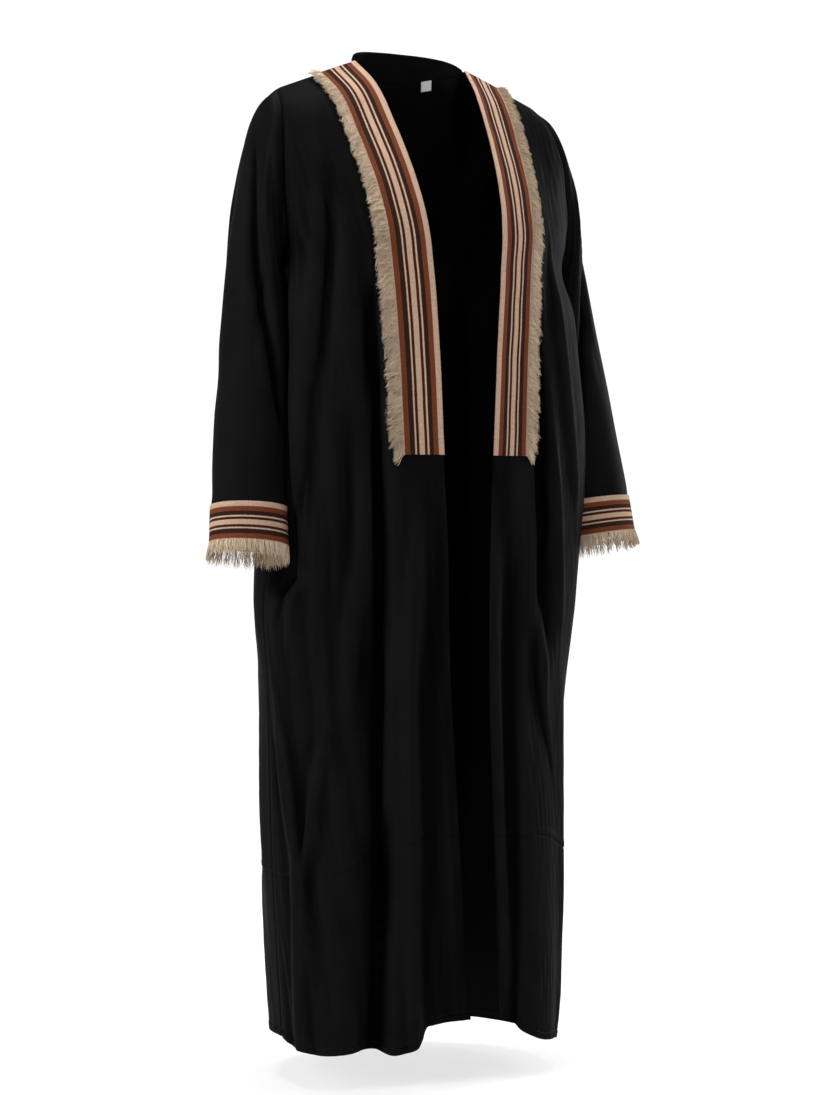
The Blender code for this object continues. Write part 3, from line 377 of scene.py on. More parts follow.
# Stripes of the braid from its inner edge outwards: width in millimetres and colour
CREAM = (0.560, 0.378, 0.275)
PALE = (0.580, 0.410, 0.310)
RUST = (0.165, 0.045, 0.0195)
BROWN = (0.031, 0.0125, 0.0080)
MAROON = (0.052, 0.0120, 0.0036)
STRIPES = (
    (6.8, CREAM),
    (7.3, RUST),
    (6.4, BROWN),
    (2.3, PALE),
    (4.0, MAROON),
    (7.5, CREAM),
    (4.0, MAROON),
    (2.3, PALE),
    (7.2, BROWN),
    (7.5, RUST),
    (8.7, CREAM),
)
# The stripes' width round a cuff, how far yarns shift them, and the pitches of ribs across and threads along
CUFF_STRIPES = 0.0570
STRIPE_JITTER = 0.00035
RIB_PITCH = 0.0017
THREAD_PITCH = 0.0013
# Relief of the braid: its gap to the cloth and how far it sinks in, its base, the crown of a pale stripe, the
# half width of a groove, the looped edge, and its waves with their size along and across
BRAID_GAP = 0.0003
BRAID_SUNK = 0.0004
BRAID_BASE = 0.00006
BRAID_CROWN = 0.00022
GROOVE = 0.0011
LOOP_HEIGHT = 0.0011
LOOP_PITCH = 0.0045
LOOP_SHARE = 0.06
BRAID_WAVE = (0.0003, (0.06, 0.05))

# Yarns: radius of each fringe's, thickness along their length, their wave, the distance between strands in
# the yarn's texture, and a direction that none of them takes
FRONT_YARN_RADIUS = 0.00042
CUFF_YARN_RADIUS = 0.00045
YARN_TAPER = (1.0, 1.1, 1.0, 0.95, 0.8, 0.35)
YARN_WAVES = 2.1
STRAND_STEP = 0.0037
YARN_SIDE = (0.31, 0.42, 0.85)
# Pairs below are a tuft's spread and a yarn's, a least value and what is added to it, or from and to
# Front fringe: how far tufts and yarns stray, in tufts, how roots crowd to the edge, and its top's length
TUFT_STRAY = 0.3
YARN_STRAY = 0.42
INWARD_POWER = 1.5
RAISED_TOP = 0.035
# Its yarns' droop, stand, bend and sway, as shares of their length
DROOP = 0.60
DROOP_SPREAD = (0.22, 0.16)
DROOP_LESS_AT_TOP = 0.9
DROOP_AT_START = 0.75
DROOP_AT_END = 0.24
STAND = 0.10
STAND_BY_LAYER = 0.30
STAND_AT_TOP = 0.30
BEND_BACK = 0.12
BEND_BY_LAYER = 0.16
GATHER = 0.85
SWAY_SPREAD = (0.13, 0.15)
CURL_OUT = (-0.03, 0.08)
# Their lengths as shares of the fringe's, and in metres; shorter near the top and at the tail
LENGTH_SHARE = 0.92
LENGTH_SPREAD = (0.10, 0.14)
YARN_LENGTHS = (0.006, 0.021)
TOP_SHORTER = (0.78, 0.22)
TOP_SHORTER_TO = (0.16, 0.30)
COVERS_LENGTH = 0.75
TAIL_ROWS = 3.0
TAIL_DROOP = 0.5
TAIL_SHARE = 0.8
# How far the roots stand off the cloth, and over the braid
FRONT_ROOTS = 0.0006
FRONT_ROOTS_BY_LAYER = 0.0009
OVER_BRAID = (0.0002, 0.0012)
# Cuff fringe: the way round, its tufts' pitch, how much that varies and over what length, and rows with roots
CUFF_ROUND = 0.33
CUFF_TUFT = 0.0105
CUFF_TUFT_VARIES = (1.6, 0.06)
CUFF_ROOT_ROWS = 0.8
# Its yarns' flare, most on the outside, and their slant, bend and curl
CUFF_FLARE = (0.03, 0.17)
FLARE_OUTSIDE = (-0.9, 0.1)
FLARE_BY_LAYER = (0.75, 0.5)
CUFF_SLANT = (0.10, 0.07)
CUFF_BEND_BACK = 0.05
CUFF_BEND_ASIDE = (0.08, 0.05)
CUFF_CURL_ASIDE = 0.08
CUFF_CURL_OUT = (-0.03, 0.05)
# Their lengths, most at the back, by yarn and by tuft, their roots, and the share left out at the back
CUFF_LENGTH = (0.68, 0.16)
LONGER_BEHIND = (-0.3, 0.5)
CUFF_LENGTH_SHARE = (0.88, 0.14, 0.12)
CUFF_ROOTS = 0.0004
CUFF_ROOTS_BY_LAYER = 0.0010
THINNED = 0.55
THINNED_BEHIND = (0.0, 0.6)

# Colours of the yarn, the tab, the cloth, the thread, the light and the floor
YARN = (0.590, 0.460, 0.330)
TAB = (0.540, 0.540, 0.530)
BLACK = (0.0029, 0.0029, 0.0031)
THREAD = (0.008, 0.008, 0.008)
WHITE = (1.0, 1.0, 1.0, 1.0)
FLOOR_COLOUR = (0.35, 0.35, 0.35, 1.0)
# Columns over which a point's height above the cloth round it is measured, and the crepe's painted light and
# shade for that height, lighter on ridges and darker in valleys: from and to these millimetres, and the tone
# at both
RELIEF_REACHES = (4, 9)
RELIEF_PAINTED_SHADE = (-4.0, 4.5, 0.30, 1.80)

# Camera: the photo's size in pixels, the turn, distance and target, and the focal length and centre in pixels
PHOTO_WIDTH = 828
PHOTO_HEIGHT = 1095
VIEW_AZIMUTH = -28.0
VIEW_DISTANCE = 3.8
VIEW_TARGET = (0.0, 0.0, -0.6435)
VIEW_FOCAL = 2675.0
VIEW_CENTRE = (410.0, 520.0)
SENSOR = 36.0
# Floor: its height and how far it reaches
FLOOR_LEVEL = -1.42
FLOOR_REACH = 60.0
# The floor glows white, dimmer near the garment as a painted shadow: from and to these distances, and its
# glow at both
FLOOR_GLOW_AND_PAINTED_SHADOW = (0.6, 6.0, 0.69, 1.0)
# The room is dim in front of the garment and white behind it: from, to, dim and bright
ROOM_BRIGHTNESS = (0.80, 0.97, 0.06, 1.05)
# Low down it is white all round: from and to these heights of a unit direction, white and dim
HORIZON_BRIGHTNESS = (0.10, 0.24, 1.05, 0.06)
# Soft lights: place, width and height, and power
SOFT_LIGHTS = {
    "left_light": ((-3.79, -0.10, 1.0), (1.4, 2.4), 115.0),
    "front_light": ((0.0, -3.80, 1.0), (1.4, 2.4), 10.0),
    "right_light": ((3.29, -1.90, 1.0), (1.4, 2.4), 24.0),
    "side_light": ((3.75, 0.60, 0.4), (1.4, 2.4), 112.0),
    "top_light": ((0.0, 0.2, 2.8), (2.4, 2.4), 170.0),
}


def eased(value, start, end):
    """0 before start, 1 after end, with a smooth change between."""
    t = np.clip((value - start) / (end - start), 0.0, 1.0)
    return t * t * (3.0 - 2.0 * t)


def bell(value, width):
    """1 at a value of 0, falling away smoothly to both sides over about the width."""
    return np.exp(-((value / width) ** 2))


def along(table, at):
    """The other columns of a table at any values of its first column, joined smoothly."""
    rows = np.array(table, float)
    knots, values = rows[:, 0], rows[:, 1:]
    slopes = np.gradient(values, knots, axis=0)
    at = np.clip(np.asarray(at, float), knots[0], knots[-1])
    i = np.clip(np.searchsorted(knots, at, side="right") - 1, 0, len(knots) - 2)
    step = (knots[i + 1] - knots[i])[..., None]
    t = (at - knots[i])[..., None] / step
    first = values[i] * (2 * t**3 - 3 * t**2 + 1) + slopes[i] * step * (t**3 - 2 * t**2 + t)
    return first + values[i + 1] * (3 * t**2 - 2 * t**3) + slopes[i + 1] * step * (t**3 - t**2)


def unit(vectors):
    """The vectors at length 1."""
    return vectors / np.maximum(np.linalg.norm(vectors, axis=-1, keepdims=True), 1e-12)


def run_along(line):
    """The distance of each point of a line from its start, along it."""
    return np.concatenate([[0.0], np.cumsum(np.linalg.norm(np.diff(line, axis=0), axis=-1))])


def down_rows(values, columns):
    """A value for each row, the same in all columns."""
    return np.repeat(np.asarray(values)[:, None], columns, axis=1)


def across_columns(values, rows):
    """A value for each column, the same in all rows."""
    return np.repeat(np.asarray(values)[None, :], rows, axis=0)


def wrapped(grid):
    """A closed grid with its first column again after its last."""
    return np.concatenate([grid, grid[:, :1]], axis=1)


def round_length(rings):
    """The mean length round closed rings of points."""
    return np.linalg.norm(np.roll(rings, -1, axis=1) - rings, axis=-1).sum(axis=1).mean()


def arc_points(start, start_handle, end, end_handle, distance=None, share=None):
    """Points on a cubic arc, at distances from its start or at shares of its length, and its length."""

    def cubic(t):
        return a * (1 - t) ** 3 + 3 * b * t * (1 - t) ** 2 + 3 * c * t**2 * (1 - t) + d * t**3

    a, d = start[..., None, :], end[..., None, :]
    b, c = a + start_handle[..., None, :], d + end_handle[..., None, :]
    fine = cubic(np.linspace(0.0, 1.0, ARC_STEPS + 1)[:, None])
    steps = np.linalg.norm(np.diff(fine, axis=-2), axis=-1)
    run = np.concatenate([np.zeros(steps.shape[:-1] + (1,)), np.cumsum(steps, axis=-1)], axis=-1)
    total = run[..., -1]
    want = distance if share is None else share * total
    i = np.clip((run < want[..., None]).sum(axis=-1) - 1, 0, ARC_STEPS - 1)
    before = np.take_along_axis(run, i[..., None], -1)[..., 0]
    after = np.take_along_axis(run, i[..., None] + 1, -1)[..., 0]
    part = (want - before) / np.maximum(after - before, 1e-9)
    return cubic(((i + part) / ARC_STEPS)[..., None, None])[..., 0, :], total


def directions(grid, closed=False):
    """Unit vectors across, down and outward at each point of a grid of rows and columns."""
    down = np.gradient(grid, axis=0)
    if closed:
        across = np.roll(grid, -1, axis=1) - np.roll(grid, 1, axis=1)
    else:
        across = np.gradient(grid, axis=1)
    return unit(across), unit(down), unit(np.cross(down, across))


def fold_heights(folds, distance, level):
    """How far the large folds lift the cloth out, and push it across, at each point."""
    lift = np.zeros_like(distance)
    lean = np.zeros_like(distance)
    for from_across, from_level, to_across, to_level, height, near_width, far_width, over in folds:
        t = (level - from_level) / (to_level - from_level)
        middle = from_across + (to_across - from_across) * np.clip(t, 0.0, 1.0)
        ends = eased(t, 0.0, FOLD_END) * eased(1.0 - t, 0.0, FOLD_END)
        half_width = np.where(distance < middle, near_width, far_width)
        share = bell(distance - middle, half_width) * ends
        lift += height * share
        lean += over * share
    return lift, lean


def ripple(across, down, size, seed):
    """An uneven smooth height, about -1 to 1, with features of about the given sizes across and down."""
    rng = np.random.default_rng(seed)
    total = np.zeros(np.broadcast(across, down).shape)
    for _ in range(RIPPLE_WAVES):
        turn = rng.uniform(*RIPPLE_TURNS)
        rate = rng.uniform(*RIPPLE_RATES)
        wave = across * math.cos(turn) / size[0] + down * math.sin(turn) / size[1]
        total += np.sin(2 * math.pi * rate * wave + rng.uniform(0, 2 * math.pi))
    return total / math.sqrt(RIPPLE_WAVES)


def crease_heights(creases, distance, level, seed):
    """The lift of the finer creases: each wanders, swells and dies out unevenly along its length."""
    lift = np.zeros_like(distance)
    wander, wander_rate, wander_shift = CREASE_WANDER
    swell, swell_rate, swell_shift = CREASE_SWELL
    for k, crease in enumerate(creases):
        from_across, from_level, to_across, to_level, height, near_width, far_width, bow = crease
        t = (level - from_level) / (to_level - from_level)
        middle = from_across + (to_across - from_across) * t + 4.0 * bow * t * (1.0 - t)
        middle = middle + wander * near_width * np.sin(wander_rate * t + seed + wander_shift * k)
        half_width = np.where(distance < middle, near_width, far_width)
        strength = 1.0 - swell + swell * np.sin(swell_rate * t + swell_shift * k + seed)
        ends = eased(t, 0.0, CREASE_END) * eased(1.0 - t, 0.0, CREASE_END)
        lift += height * strength * ends * bell(distance - middle, half_width)
    return lift


def fine_heights(creases, ripples, distance, level, seed):
    """The lift of a panel's finer creases and of the ripples between them."""
    lift = crease_heights(creases, distance, level, seed)
    for k, (height, size) in enumerate(ripples):
        lift += height * ripple(distance, level, size, seed + k)
    return lift


def clear_of_arm(grid):
    """Presses the cloth in beside the arm, so that it passes behind the sleeve."""
    centre = along(ARM, grid[..., 2])
    x, away = np.abs(grid[..., 0]), np.abs(grid[..., 1] - centre[..., 1])
    radius = centre[..., 2] * (1.0 - eased(grid[..., 2], *ARM_TOP)) * eased(grid[..., 2], *ARM_BOTTOM)
    inside = centre[..., 0] - np.sqrt(np.maximum(radius**2 - away**2, 0.0))
    limit = np.where(away < radius, inside, centre[..., 0] + ARM_RAMP * (away - radius))
    over = x - limit
    pressed = x - 0.5 * (over + np.sqrt(over**2 + ARM_EDGE**2)) * (radius > 0.001)
    result = grid.copy()
    result[..., 0] = np.sign(grid[..., 0]) * pressed
    return result


def tier_level(nominal, distance):
    """The level of each point: rows near the tier's seam dip away from the front edge."""
    near = eased(nominal, TIER - DIP_ABOVE, TIER) * eased(-nominal, -LENGTH, -TIER)
    return nominal + TIER_DIP * eased(distance, DIP_FROM, DIP_TO) * near


def sunk(distance, depth_and_width):
    """A dip of the given depth and half width, by the distance from its middle."""
    depth, width = depth_and_width
    return -depth * bell(distance, width)


def sewing(nominal):
    """Heights of the tier's seam and the hem: a sunk line at each, and a thicker turned edge beside it."""
    top, full, end = (TIER - above for above in TIER_ALLOWANCE)
    allowance = eased(nominal, top, full) * (1.0 - eased(nominal, end, TIER))
    turned = TURNED_EDGE * (allowance + eased(nominal, HEM_LINE, HEM_LINE + TURNED_EASE))
    return sunk(nominal - TIER, TIER_SEAM) + sunk(nominal - HEM_LINE, HEM_STITCHING) + turned


def sewn(grid, fine, distance, to_side, nominal):
    """A panel with its fine shapes, its sewing, a dip along its side seam and puckers at its hem."""
    height, pitch, reach = HEM_PUCKERS
    puckers = height * np.sin(distance * 2 * math.pi / pitch) * bell(nominal - HEM_LINE, reach)
    lift = fine + sewing(nominal) + sunk(to_side, SEAM_DIP) + puckers
    return grid + directions(grid)[2] * lift[..., None]


def body_rows(rows):
    """Nominal levels of about so many rows of the body."""
    spans = zip(ROW_LEVELS[:-1], ROW_LEVELS[1:], ROW_SHARES)
    parts = [np.linspace(start, end, int(rows * share)) for start, end, share in spans]
    return np.concatenate([parts[0]] + [part[1:] for part in parts[1:]])


def front_grid(edge_rows, side_rows, folds, hem_drop, creases, seed):
    """A front as if for the wearer's left: its points, distances from the edge, levels and rows' levels."""
    strip = np.linspace(0.0, BRAID_WIDTH, STRIP_COLUMNS + 1)
    shares = np.linspace(0.0, 1.0, FRONT_COLUMNS + 1)[1:]
    levels = body_rows(FRONT_ROWS)
    nominal = down_rows(levels, len(strip) + len(shares))

    def place(level):
        edge, side = along(edge_rows, level), along(side_rows, level)
        handles = edge[..., :3], edge[..., 3:], side[..., :3], side[..., 3:]
        total = arc_points(*handles, share=np.ones(level.shape))[1]
        rest = BRAID_WIDTH + (total[:, len(strip) :] - BRAID_WIDTH) * shares
        distance = np.concatenate([across_columns(strip, len(levels)), rest], axis=1)
        return arc_points(*handles, distance=distance)[0], distance, total

    distance = place(nominal)[1]
    level = tier_level(nominal, distance)
    grid, distance, total = place(level)
    lift, lean = fold_heights(folds, distance, level)
    still = eased(total - distance, 0.0, FADE) * eased(level, 0.0, FADE)
    across, _, out = directions(grid)
    folded = grid + (out * lift[..., None] + across * lean[..., None]) * still[..., None]
    folded[..., 2] -= along(hem_drop, distance)[..., 0] * eased(nominal, *TILT_LEVELS)
    pressed = clear_of_arm(folded)
    at_armhole = (nominal <= UNDERARM + 1e-6) & (total - distance < 1e-6)
    pressed[at_armhole] = grid[at_armhole]
    to_side = total - distance
    beside = eased(distance, BRAID_WIDTH, BRAID_WIDTH + BRAID_EASE)
    under_braid = (1.0 - beside) * (1.0 - eased(level, *BELOW_BRAID))
    loose = eased(to_side, 0.0, SIDE_EASE) * eased(level, 0.0, FRONT_TOP_EASE) * (1.0 - under_braid)
    fine = fine_heights(creases, FRONT_RIPPLES, distance, level, seed) * loose
    return sewn(pressed, fine, distance, to_side, nominal), distance, level, nominal


def neckline(turn):
    """The back neckline from the middle of the back (0) to the neck point (1), on the wearer's left."""
    angle = np.asarray(turn, float) * np.pi / 2
    x = NECK_WIDTH / 2 * np.sin(angle)
    y = NECK_DEPTH * np.cos(angle)
    z = -NECK_DROP * np.cos(angle) ** 2
    return np.stack([x, y, z], axis=-1)


def back_half(levels, shoulder, neck):
    """Half of the back, with columns from the wearer's left side to the middle."""
    count = len(shoulder) + len(neck)
    level = down_rows(levels, count)
    side = along(SIDE_RIGHT, level)
    handle = np.concatenate([along(BACK_HANDLE, level), np.zeros(level.shape + (1,))], axis=-1)
    armhole = along(BACK_ARMHOLE, level)
    upper = (level <= UNDERARM)[..., None]
    start = np.where(upper, armhole[..., :3], side[..., :3])
    start_handle = np.where(upper, armhole[..., 3:], handle)
    middle = along(BACK_MIDDLE, level)
    end = np.stack([np.zeros_like(level), middle[..., 0], middle[..., 1]], axis=-1)
    end_handle = np.stack([middle[..., 2], np.zeros_like(level), np.zeros_like(level)], axis=-1)
    share = np.concatenate([shoulder * SHOULDER_SHARE, SHOULDER_SHARE + neck * (1.0 - SHOULDER_SHARE)])
    share = across_columns(share, len(levels))
    grid = arc_points(start, start_handle, end, end_handle, share=share)[0]
    seam = np.array(SIDE_TOP[0][1:4]) * (1 - shoulder[:, None]) + neckline(1.0) * shoulder[:, None]
    top = np.concatenate([seam, neckline(1.0 - neck)])
    near_top = 1.0 - eased(level, 0.0, SHOULDER_EASE)[..., None]
    grid = grid + (top - grid[0])[None] * near_top
    at_armhole = levels <= UNDERARM + 1e-6
    grid[at_armhole, 0] = along(BACK_ARMHOLE, levels[at_armhole])[:, :3]
    return grid


def back_grid():
    """The whole back, with columns from the wearer's left side round to the right."""
    nominal = body_rows(BACK_ROWS)
    levels = tier_level(nominal, DIP_TO)
    shoulder = np.linspace(0.0, 1.0, SHOULDER_COLUMNS + 1)
    neck = np.linspace(0.0, 1.0, NECK_COLUMNS + 1)[1:]
    half = back_half(levels, shoulder, neck)
    whole = np.concatenate([half, (half * MIRROR)[:, -2::-1]], axis=1)
    run = np.cumsum(np.linalg.norm(np.diff(whole, axis=1), axis=-1), axis=1)
    run = np.concatenate([np.zeros((len(levels), 1)), run], axis=1)
    distance = run[:, half.shape[1] - 1][:, None] - run
    level = down_rows(levels, whole.shape[1])
    to_side = np.minimum(run, run[:, -1:] - run)
    lift = fold_heights(FOLDS_BACK, distance, level)[0]
    still = eased(to_side, 0.0, FADE) * eased(level, *BACK_FADE)
    folded = clear_of_arm(whole + directions(whole)[2] * (lift * still)[..., None])
    at_armhole = levels <= UNDERARM + 1e-6
    for side in (0, -1):
        folded[at_armhole, side] = whole[at_armhole, side]
    loose = eased(to_side, 0.0, SIDE_EASE) * eased(level, 0.0, BACK_TOP_EASE)
    fine = fine_heights(CREASES_BACK, BACK_RIPPLES, distance, level, 5) * loose
    nominal = down_rows(nominal, whole.shape[1])
    return sewn(folded, fine, distance, to_side, nominal), distance, level, nominal


def armhole_ring(turns):
    """The armhole's points from the shoulder round the back, under the arm and up the front."""
    level = UNDERARM * 2 * np.minimum(turns, 1.0 - turns)
    behind = (turns <= 0.5)[:, None]
    return np.where(behind, along(BACK_ARMHOLE, level)[:, :3], along(SIDE_TOP, level)[:, :3])


def sleeve_grid(drop):
    """A sleeve as if for the wearer's left: rings from the armhole to the cuff, columns round it."""
    turns = np.arange(SLEEVE_COLUMNS) / SLEEVE_COLUMNS
    angle = turns * 2 * np.pi
    rings = np.linspace(0.0, SLEEVE_LENGTH, SLEEVE_RINGS)
    keys = [armhole_ring(turns)]
    for run, outer_x, outer_z, inner_x, inner_z, middle_y, half_depth, bulge, rise in SLEEVE:
        outer = np.array([outer_x, middle_y, outer_z])
        inner = np.array([inner_x, middle_y, inner_z])
        depth = np.array([0.0, half_depth, -rise])
        ring = (outer + inner) / 2 + np.cos(angle)[:, None] * (outer - inner) / 2
        ring = ring + np.sin(angle)[:, None] * depth
        ring[:, 0] += bulge * np.sin(angle) ** 2
        keys.append(ring)
    runs = np.array([0.0] + [row[0] for row in SLEEVE])
    table = np.column_stack([runs, np.array(keys).reshape(len(keys), -1)])
    grid = along(table, rings).reshape(len(rings), len(turns), 3)
    grid[..., 2] -= drop * eased(rings, *DROP_RUN)[:, None]
    out = directions(grid, closed=True)[2]
    lift = np.zeros(grid.shape[:2])
    for from_turn, from_run, to_turn, to_run, height, half_width in FOLDS_SLEEVE:
        t = (rings - from_run) / (to_run - from_run)
        middle = from_turn + (to_turn - from_turn) * np.clip(t, 0.0, 1.0)
        gap = np.abs(turns[None, :] - middle[:, None])
        gap = np.minimum(gap, 1.0 - gap)
        ends = eased(t, 0.0, FOLD_END) * eased(1.0 - t, 0.0, FOLD_END)
        lift += height * bell(gap, half_width) * ends[:, None]
    grid = grid + out * lift[..., None]
    run = down_rows(rings, SLEEVE_COLUMNS)
    across = across_columns(turns * round_length(grid), SLEEVE_RINGS)
    cuff = SLEEVE_LENGTH - CUFF_BRAID
    loose = eased(run, 0.0, SIDE_EASE) * (1.0 - eased(run, cuff - BRAID_EASE, cuff))
    fine = crease_heights(CREASES_SLEEVE, across, run, 9)
    height, waves_round, twist, waves_along = SLEEVE_RIPPLE
    fine += height * np.sin(angle * waves_round + run * twist) * np.sin(run * waves_along)
    fine = fine * loose + sunk(run, SEAM_DIP)
    return grid + directions(grid, closed=True)[2] * fine[..., None], across, run


def mirrored(grid):
    """The grid for the wearer's right side, with its columns the other way so that it still faces out."""
    return (grid * MIRROR)[:, ::-1]


def for_side(side, grid, *maps):
    """A grid and what goes with its points as they are for the wearer's left, or mirrored for the right."""
    if side == "left":
        return grid, *maps
    return mirrored(grid), *(each[:, ::-1] for each in maps)


def vectors_for(side, *vectors):
    """Vectors as they are for the wearer's left, or mirrored for the right."""
    return vectors if side == "left" else tuple(each * MIRROR for each in vectors)


def tilted(grid, nominal):
    """The body's cloth with its hem hanging lower on the wearer's left than on the right."""
    result = grid.copy()
    result[..., 2] -= HEM_TILT * grid[..., 0] * eased(nominal, *TILT_LEVELS)
    return result


def on_grid(grid, rows, columns):
    """Points of a grid at fractional rows and columns."""
    i = np.clip(np.floor(rows).astype(int), 0, grid.shape[0] - 2)
    j = np.clip(np.floor(columns).astype(int), 0, grid.shape[1] - 2)
    s, t = (rows - i)[..., None], (columns - j)[..., None]
    upper = grid[i, j] * (1 - t) + grid[i, j + 1] * t
    lower = grid[i + 1, j] * (1 - t) + grid[i + 1, j + 1] * t
    return upper * (1 - s) + lower * s


def add_mesh(name, points, faces, uvs, material):
    """An object from points and faces, with a place in the cloth for each point, riding on the root."""
    mesh = bpy.data.meshes.new(name)
    faces = np.asarray(faces, int)
    mesh.from_pydata(np.asarray(points, float).reshape(-1, 3).tolist(), [], faces.tolist())
    layer = mesh.uv_layers.new(name="cloth")
    layer.data.foreach_set("uv", np.asarray(uvs, float).reshape(-1))
    mesh.materials.append(material)
    mesh.shade_smooth()
    piece = bpy.data.objects.new(name, mesh)
    bpy.context.scene.collection.objects.link(piece)
    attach(piece, "root")
    return piece


def grid_faces(rows, columns, closed=False):
    """Faces of a grid of points, row by row, and the row and column of each of their corners."""
    i, j = np.meshgrid(np.arange(rows - 1), np.arange(columns if closed else columns - 1), indexing="ij")
    i, j = i.ravel(), j.ravel()
    corner_rows = np.stack([i, i + 1, i + 1, i], axis=1)
    corner_columns = np.stack([j, j, j + 1, j + 1], axis=1)
    return corner_rows * columns + corner_columns % columns, corner_rows, corner_columns


def blurred(grid, reach, closed):
    """The grid with each point at the mean of its row's points up to a number of columns away."""
    padded = np.pad(grid, [(0, 0), (reach + 1, reach), (0, 0)], "wrap" if closed else "edge")
    total = np.cumsum(padded, axis=1)
    width = 2 * reach + 1
    return (total[:, width:] - total[:, :-width]) / width


def cloth_relief(grid, closed):
    """How far each point stands out from the cloth round it, in millimetres; below 0 in valleys."""
    out = directions(grid, closed)[2]
    total = np.zeros(grid.shape[:2])
    for reach in RELIEF_REACHES:
        total += ((grid - blurred(grid, reach, closed)) * out).sum(axis=-1)
    return total * 1000.0


def add_sheet(name, grid, u, v, material, slot, wall, nodes, closed=False):
    """A thin shell over a grid; u and v are distances across and along the cloth, in metres."""
    rows, columns = grid.shape[:2]
    faces, corner_rows, corner_columns = grid_faces(rows, columns, closed)
    if closed:
        step = u[:, 1:2] - u[:, :1]
        u = np.concatenate([u, u[:, -1:] + step], axis=1)
        v = np.concatenate([v, v[:, :1]], axis=1)
    uvs = np.stack([u[corner_rows, corner_columns], v[corner_rows, corner_columns]], axis=-1)
    piece = add_mesh(name, grid, faces, uvs, material)
    # The relief attribute measures ridges and valleys for the crepe's painted light and shade
    relief = piece.data.attributes.new("relief", "FLOAT", "POINT")
    relief.data.foreach_set("value", cloth_relief(grid, closed).ravel())
    solid = piece.modifiers.new("wall", "SOLIDIFY")
    solid.thickness = wall
    solid.offset = 0.0
    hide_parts(*nodes)
    return piece


def add_cloth(name, grid, u, v, material, nodes, closed=False):
    """A sheet of the garment's cloth."""
    return add_sheet(name, grid, u, v, material, "black_crepe", CLOTH_WALL, nodes, closed)


def set_inputs(tree, node, inputs):
    """Sets or links a node's inputs, by name or as i0, i1 and so on; a node given is its first output."""
    for key, value in inputs.items():
        socket = node.inputs[int(key[1:])] if key[1:].isdigit() else node.inputs[key]
        if isinstance(value, bpy.types.Node):
            value = value.outputs[0]
        if isinstance(value, bpy.types.NodeSocket):
            tree.links.new(value, socket)
        else:
            socket.default_value = value


def node_adder(tree):
    """A function that adds a node with its settings and inputs."""

    def add(kind, settings=(), **inputs):
        node = tree.nodes.new("ShaderNode" + kind)
        for key, value in dict(settings).items():
            setattr(node, key, value)
        set_inputs(tree, node, inputs)
        return node

    return add


def worked(add, operation, *values):
    """The result of an operation on numbers, sockets or nodes."""
    return add("Math", {"operation": operation}, **{"i%d" % k: value for k, value in enumerate(values)})


def varied(add, noise, low, high):
    """A noise, most of it from 0.3 to 0.7, spread out from low to high."""
    return add("MapRange", Value=noise, i1=0.3, i2=0.7, i3=low, i4=high)


def faded(add, value, ends):
    """A smooth change of value: ends are where it starts and stops, and the results there."""
    start, stop, first, last = ends
    settings = {"interpolation_type": "SMOOTHSTEP"}
    return add("MapRange", settings, Value=value, i1=start, i2=stop, i3=first, i4=last)


def stretched_noise(add, place, scale, detail):
    """A noise with its own scale across the cloth and along it."""
    return add("TexNoise", Vector=add("Mapping", Vector=place, Scale=(*scale, 1.0)), Scale=1.0, Detail=detail)


def new_material(name):
    """A new material and its node adder."""
    material = bpy.data.materials.new(name)
    material.use_nodes = True
    return material, node_adder(material.node_tree)


def set_shader(material, **inputs):
    """Sets or links the inputs of a material's shader, by their names with _ for each space."""
    tree = material.node_tree
    named = {key.replace("_", " "): value for key, value in inputs.items()}
    set_inputs(tree, tree.nodes["Principled BSDF"], named)
    return material


def shaded(add, base, shade):
    """A base colour times a shade."""
    return add("VectorMath", {"operation": "SCALE"}, i0=base, Scale=shade)


def black_crepe():
    """Matt black crepe: a fine pebbled grain, a faint uneven tone, and painted light on ridges and painted
    shade in valleys.
    """
    material, add = new_material("black_crepe_finish")
    place = add("TexCoord").outputs["UV"]
    grain = add("TexNoise", Vector=place, Scale=1500.0, Detail=3.0, Roughness=0.6)
    threads = stretched_noise(add, place, (2600.0, 90.0), 2.0)
    bump = add("Bump", Strength=0.25, Distance=0.0002, Height=worked(add, "ADD", grain, threads))
    cloud = add("TexNoise", Vector=place, Scale=14.0, Detail=4.0, Roughness=0.6)
    shade = worked(add, "MULTIPLY", varied(add, cloud, 0.85, 1.2), varied(add, grain, 0.8, 1.25))
    # Painted light and shade: the cloth's height above its surroundings makes ridges lighter and valleys
    # darker
    height_for_painted_shade = add("Attribute", {"attribute_name": "relief"}).outputs["Fac"]
    tone = worked(add, "MULTIPLY", shade, faded(add, height_for_painted_shade, RELIEF_PAINTED_SHADE))
    rough = varied(add, cloud, 0.56, 0.66)
    colour = shaded(add, BLACK, tone)
    return set_shader(material, Base_Color=colour, Normal=bump, Roughness=rough, Specular_IOR_Level=0.01)


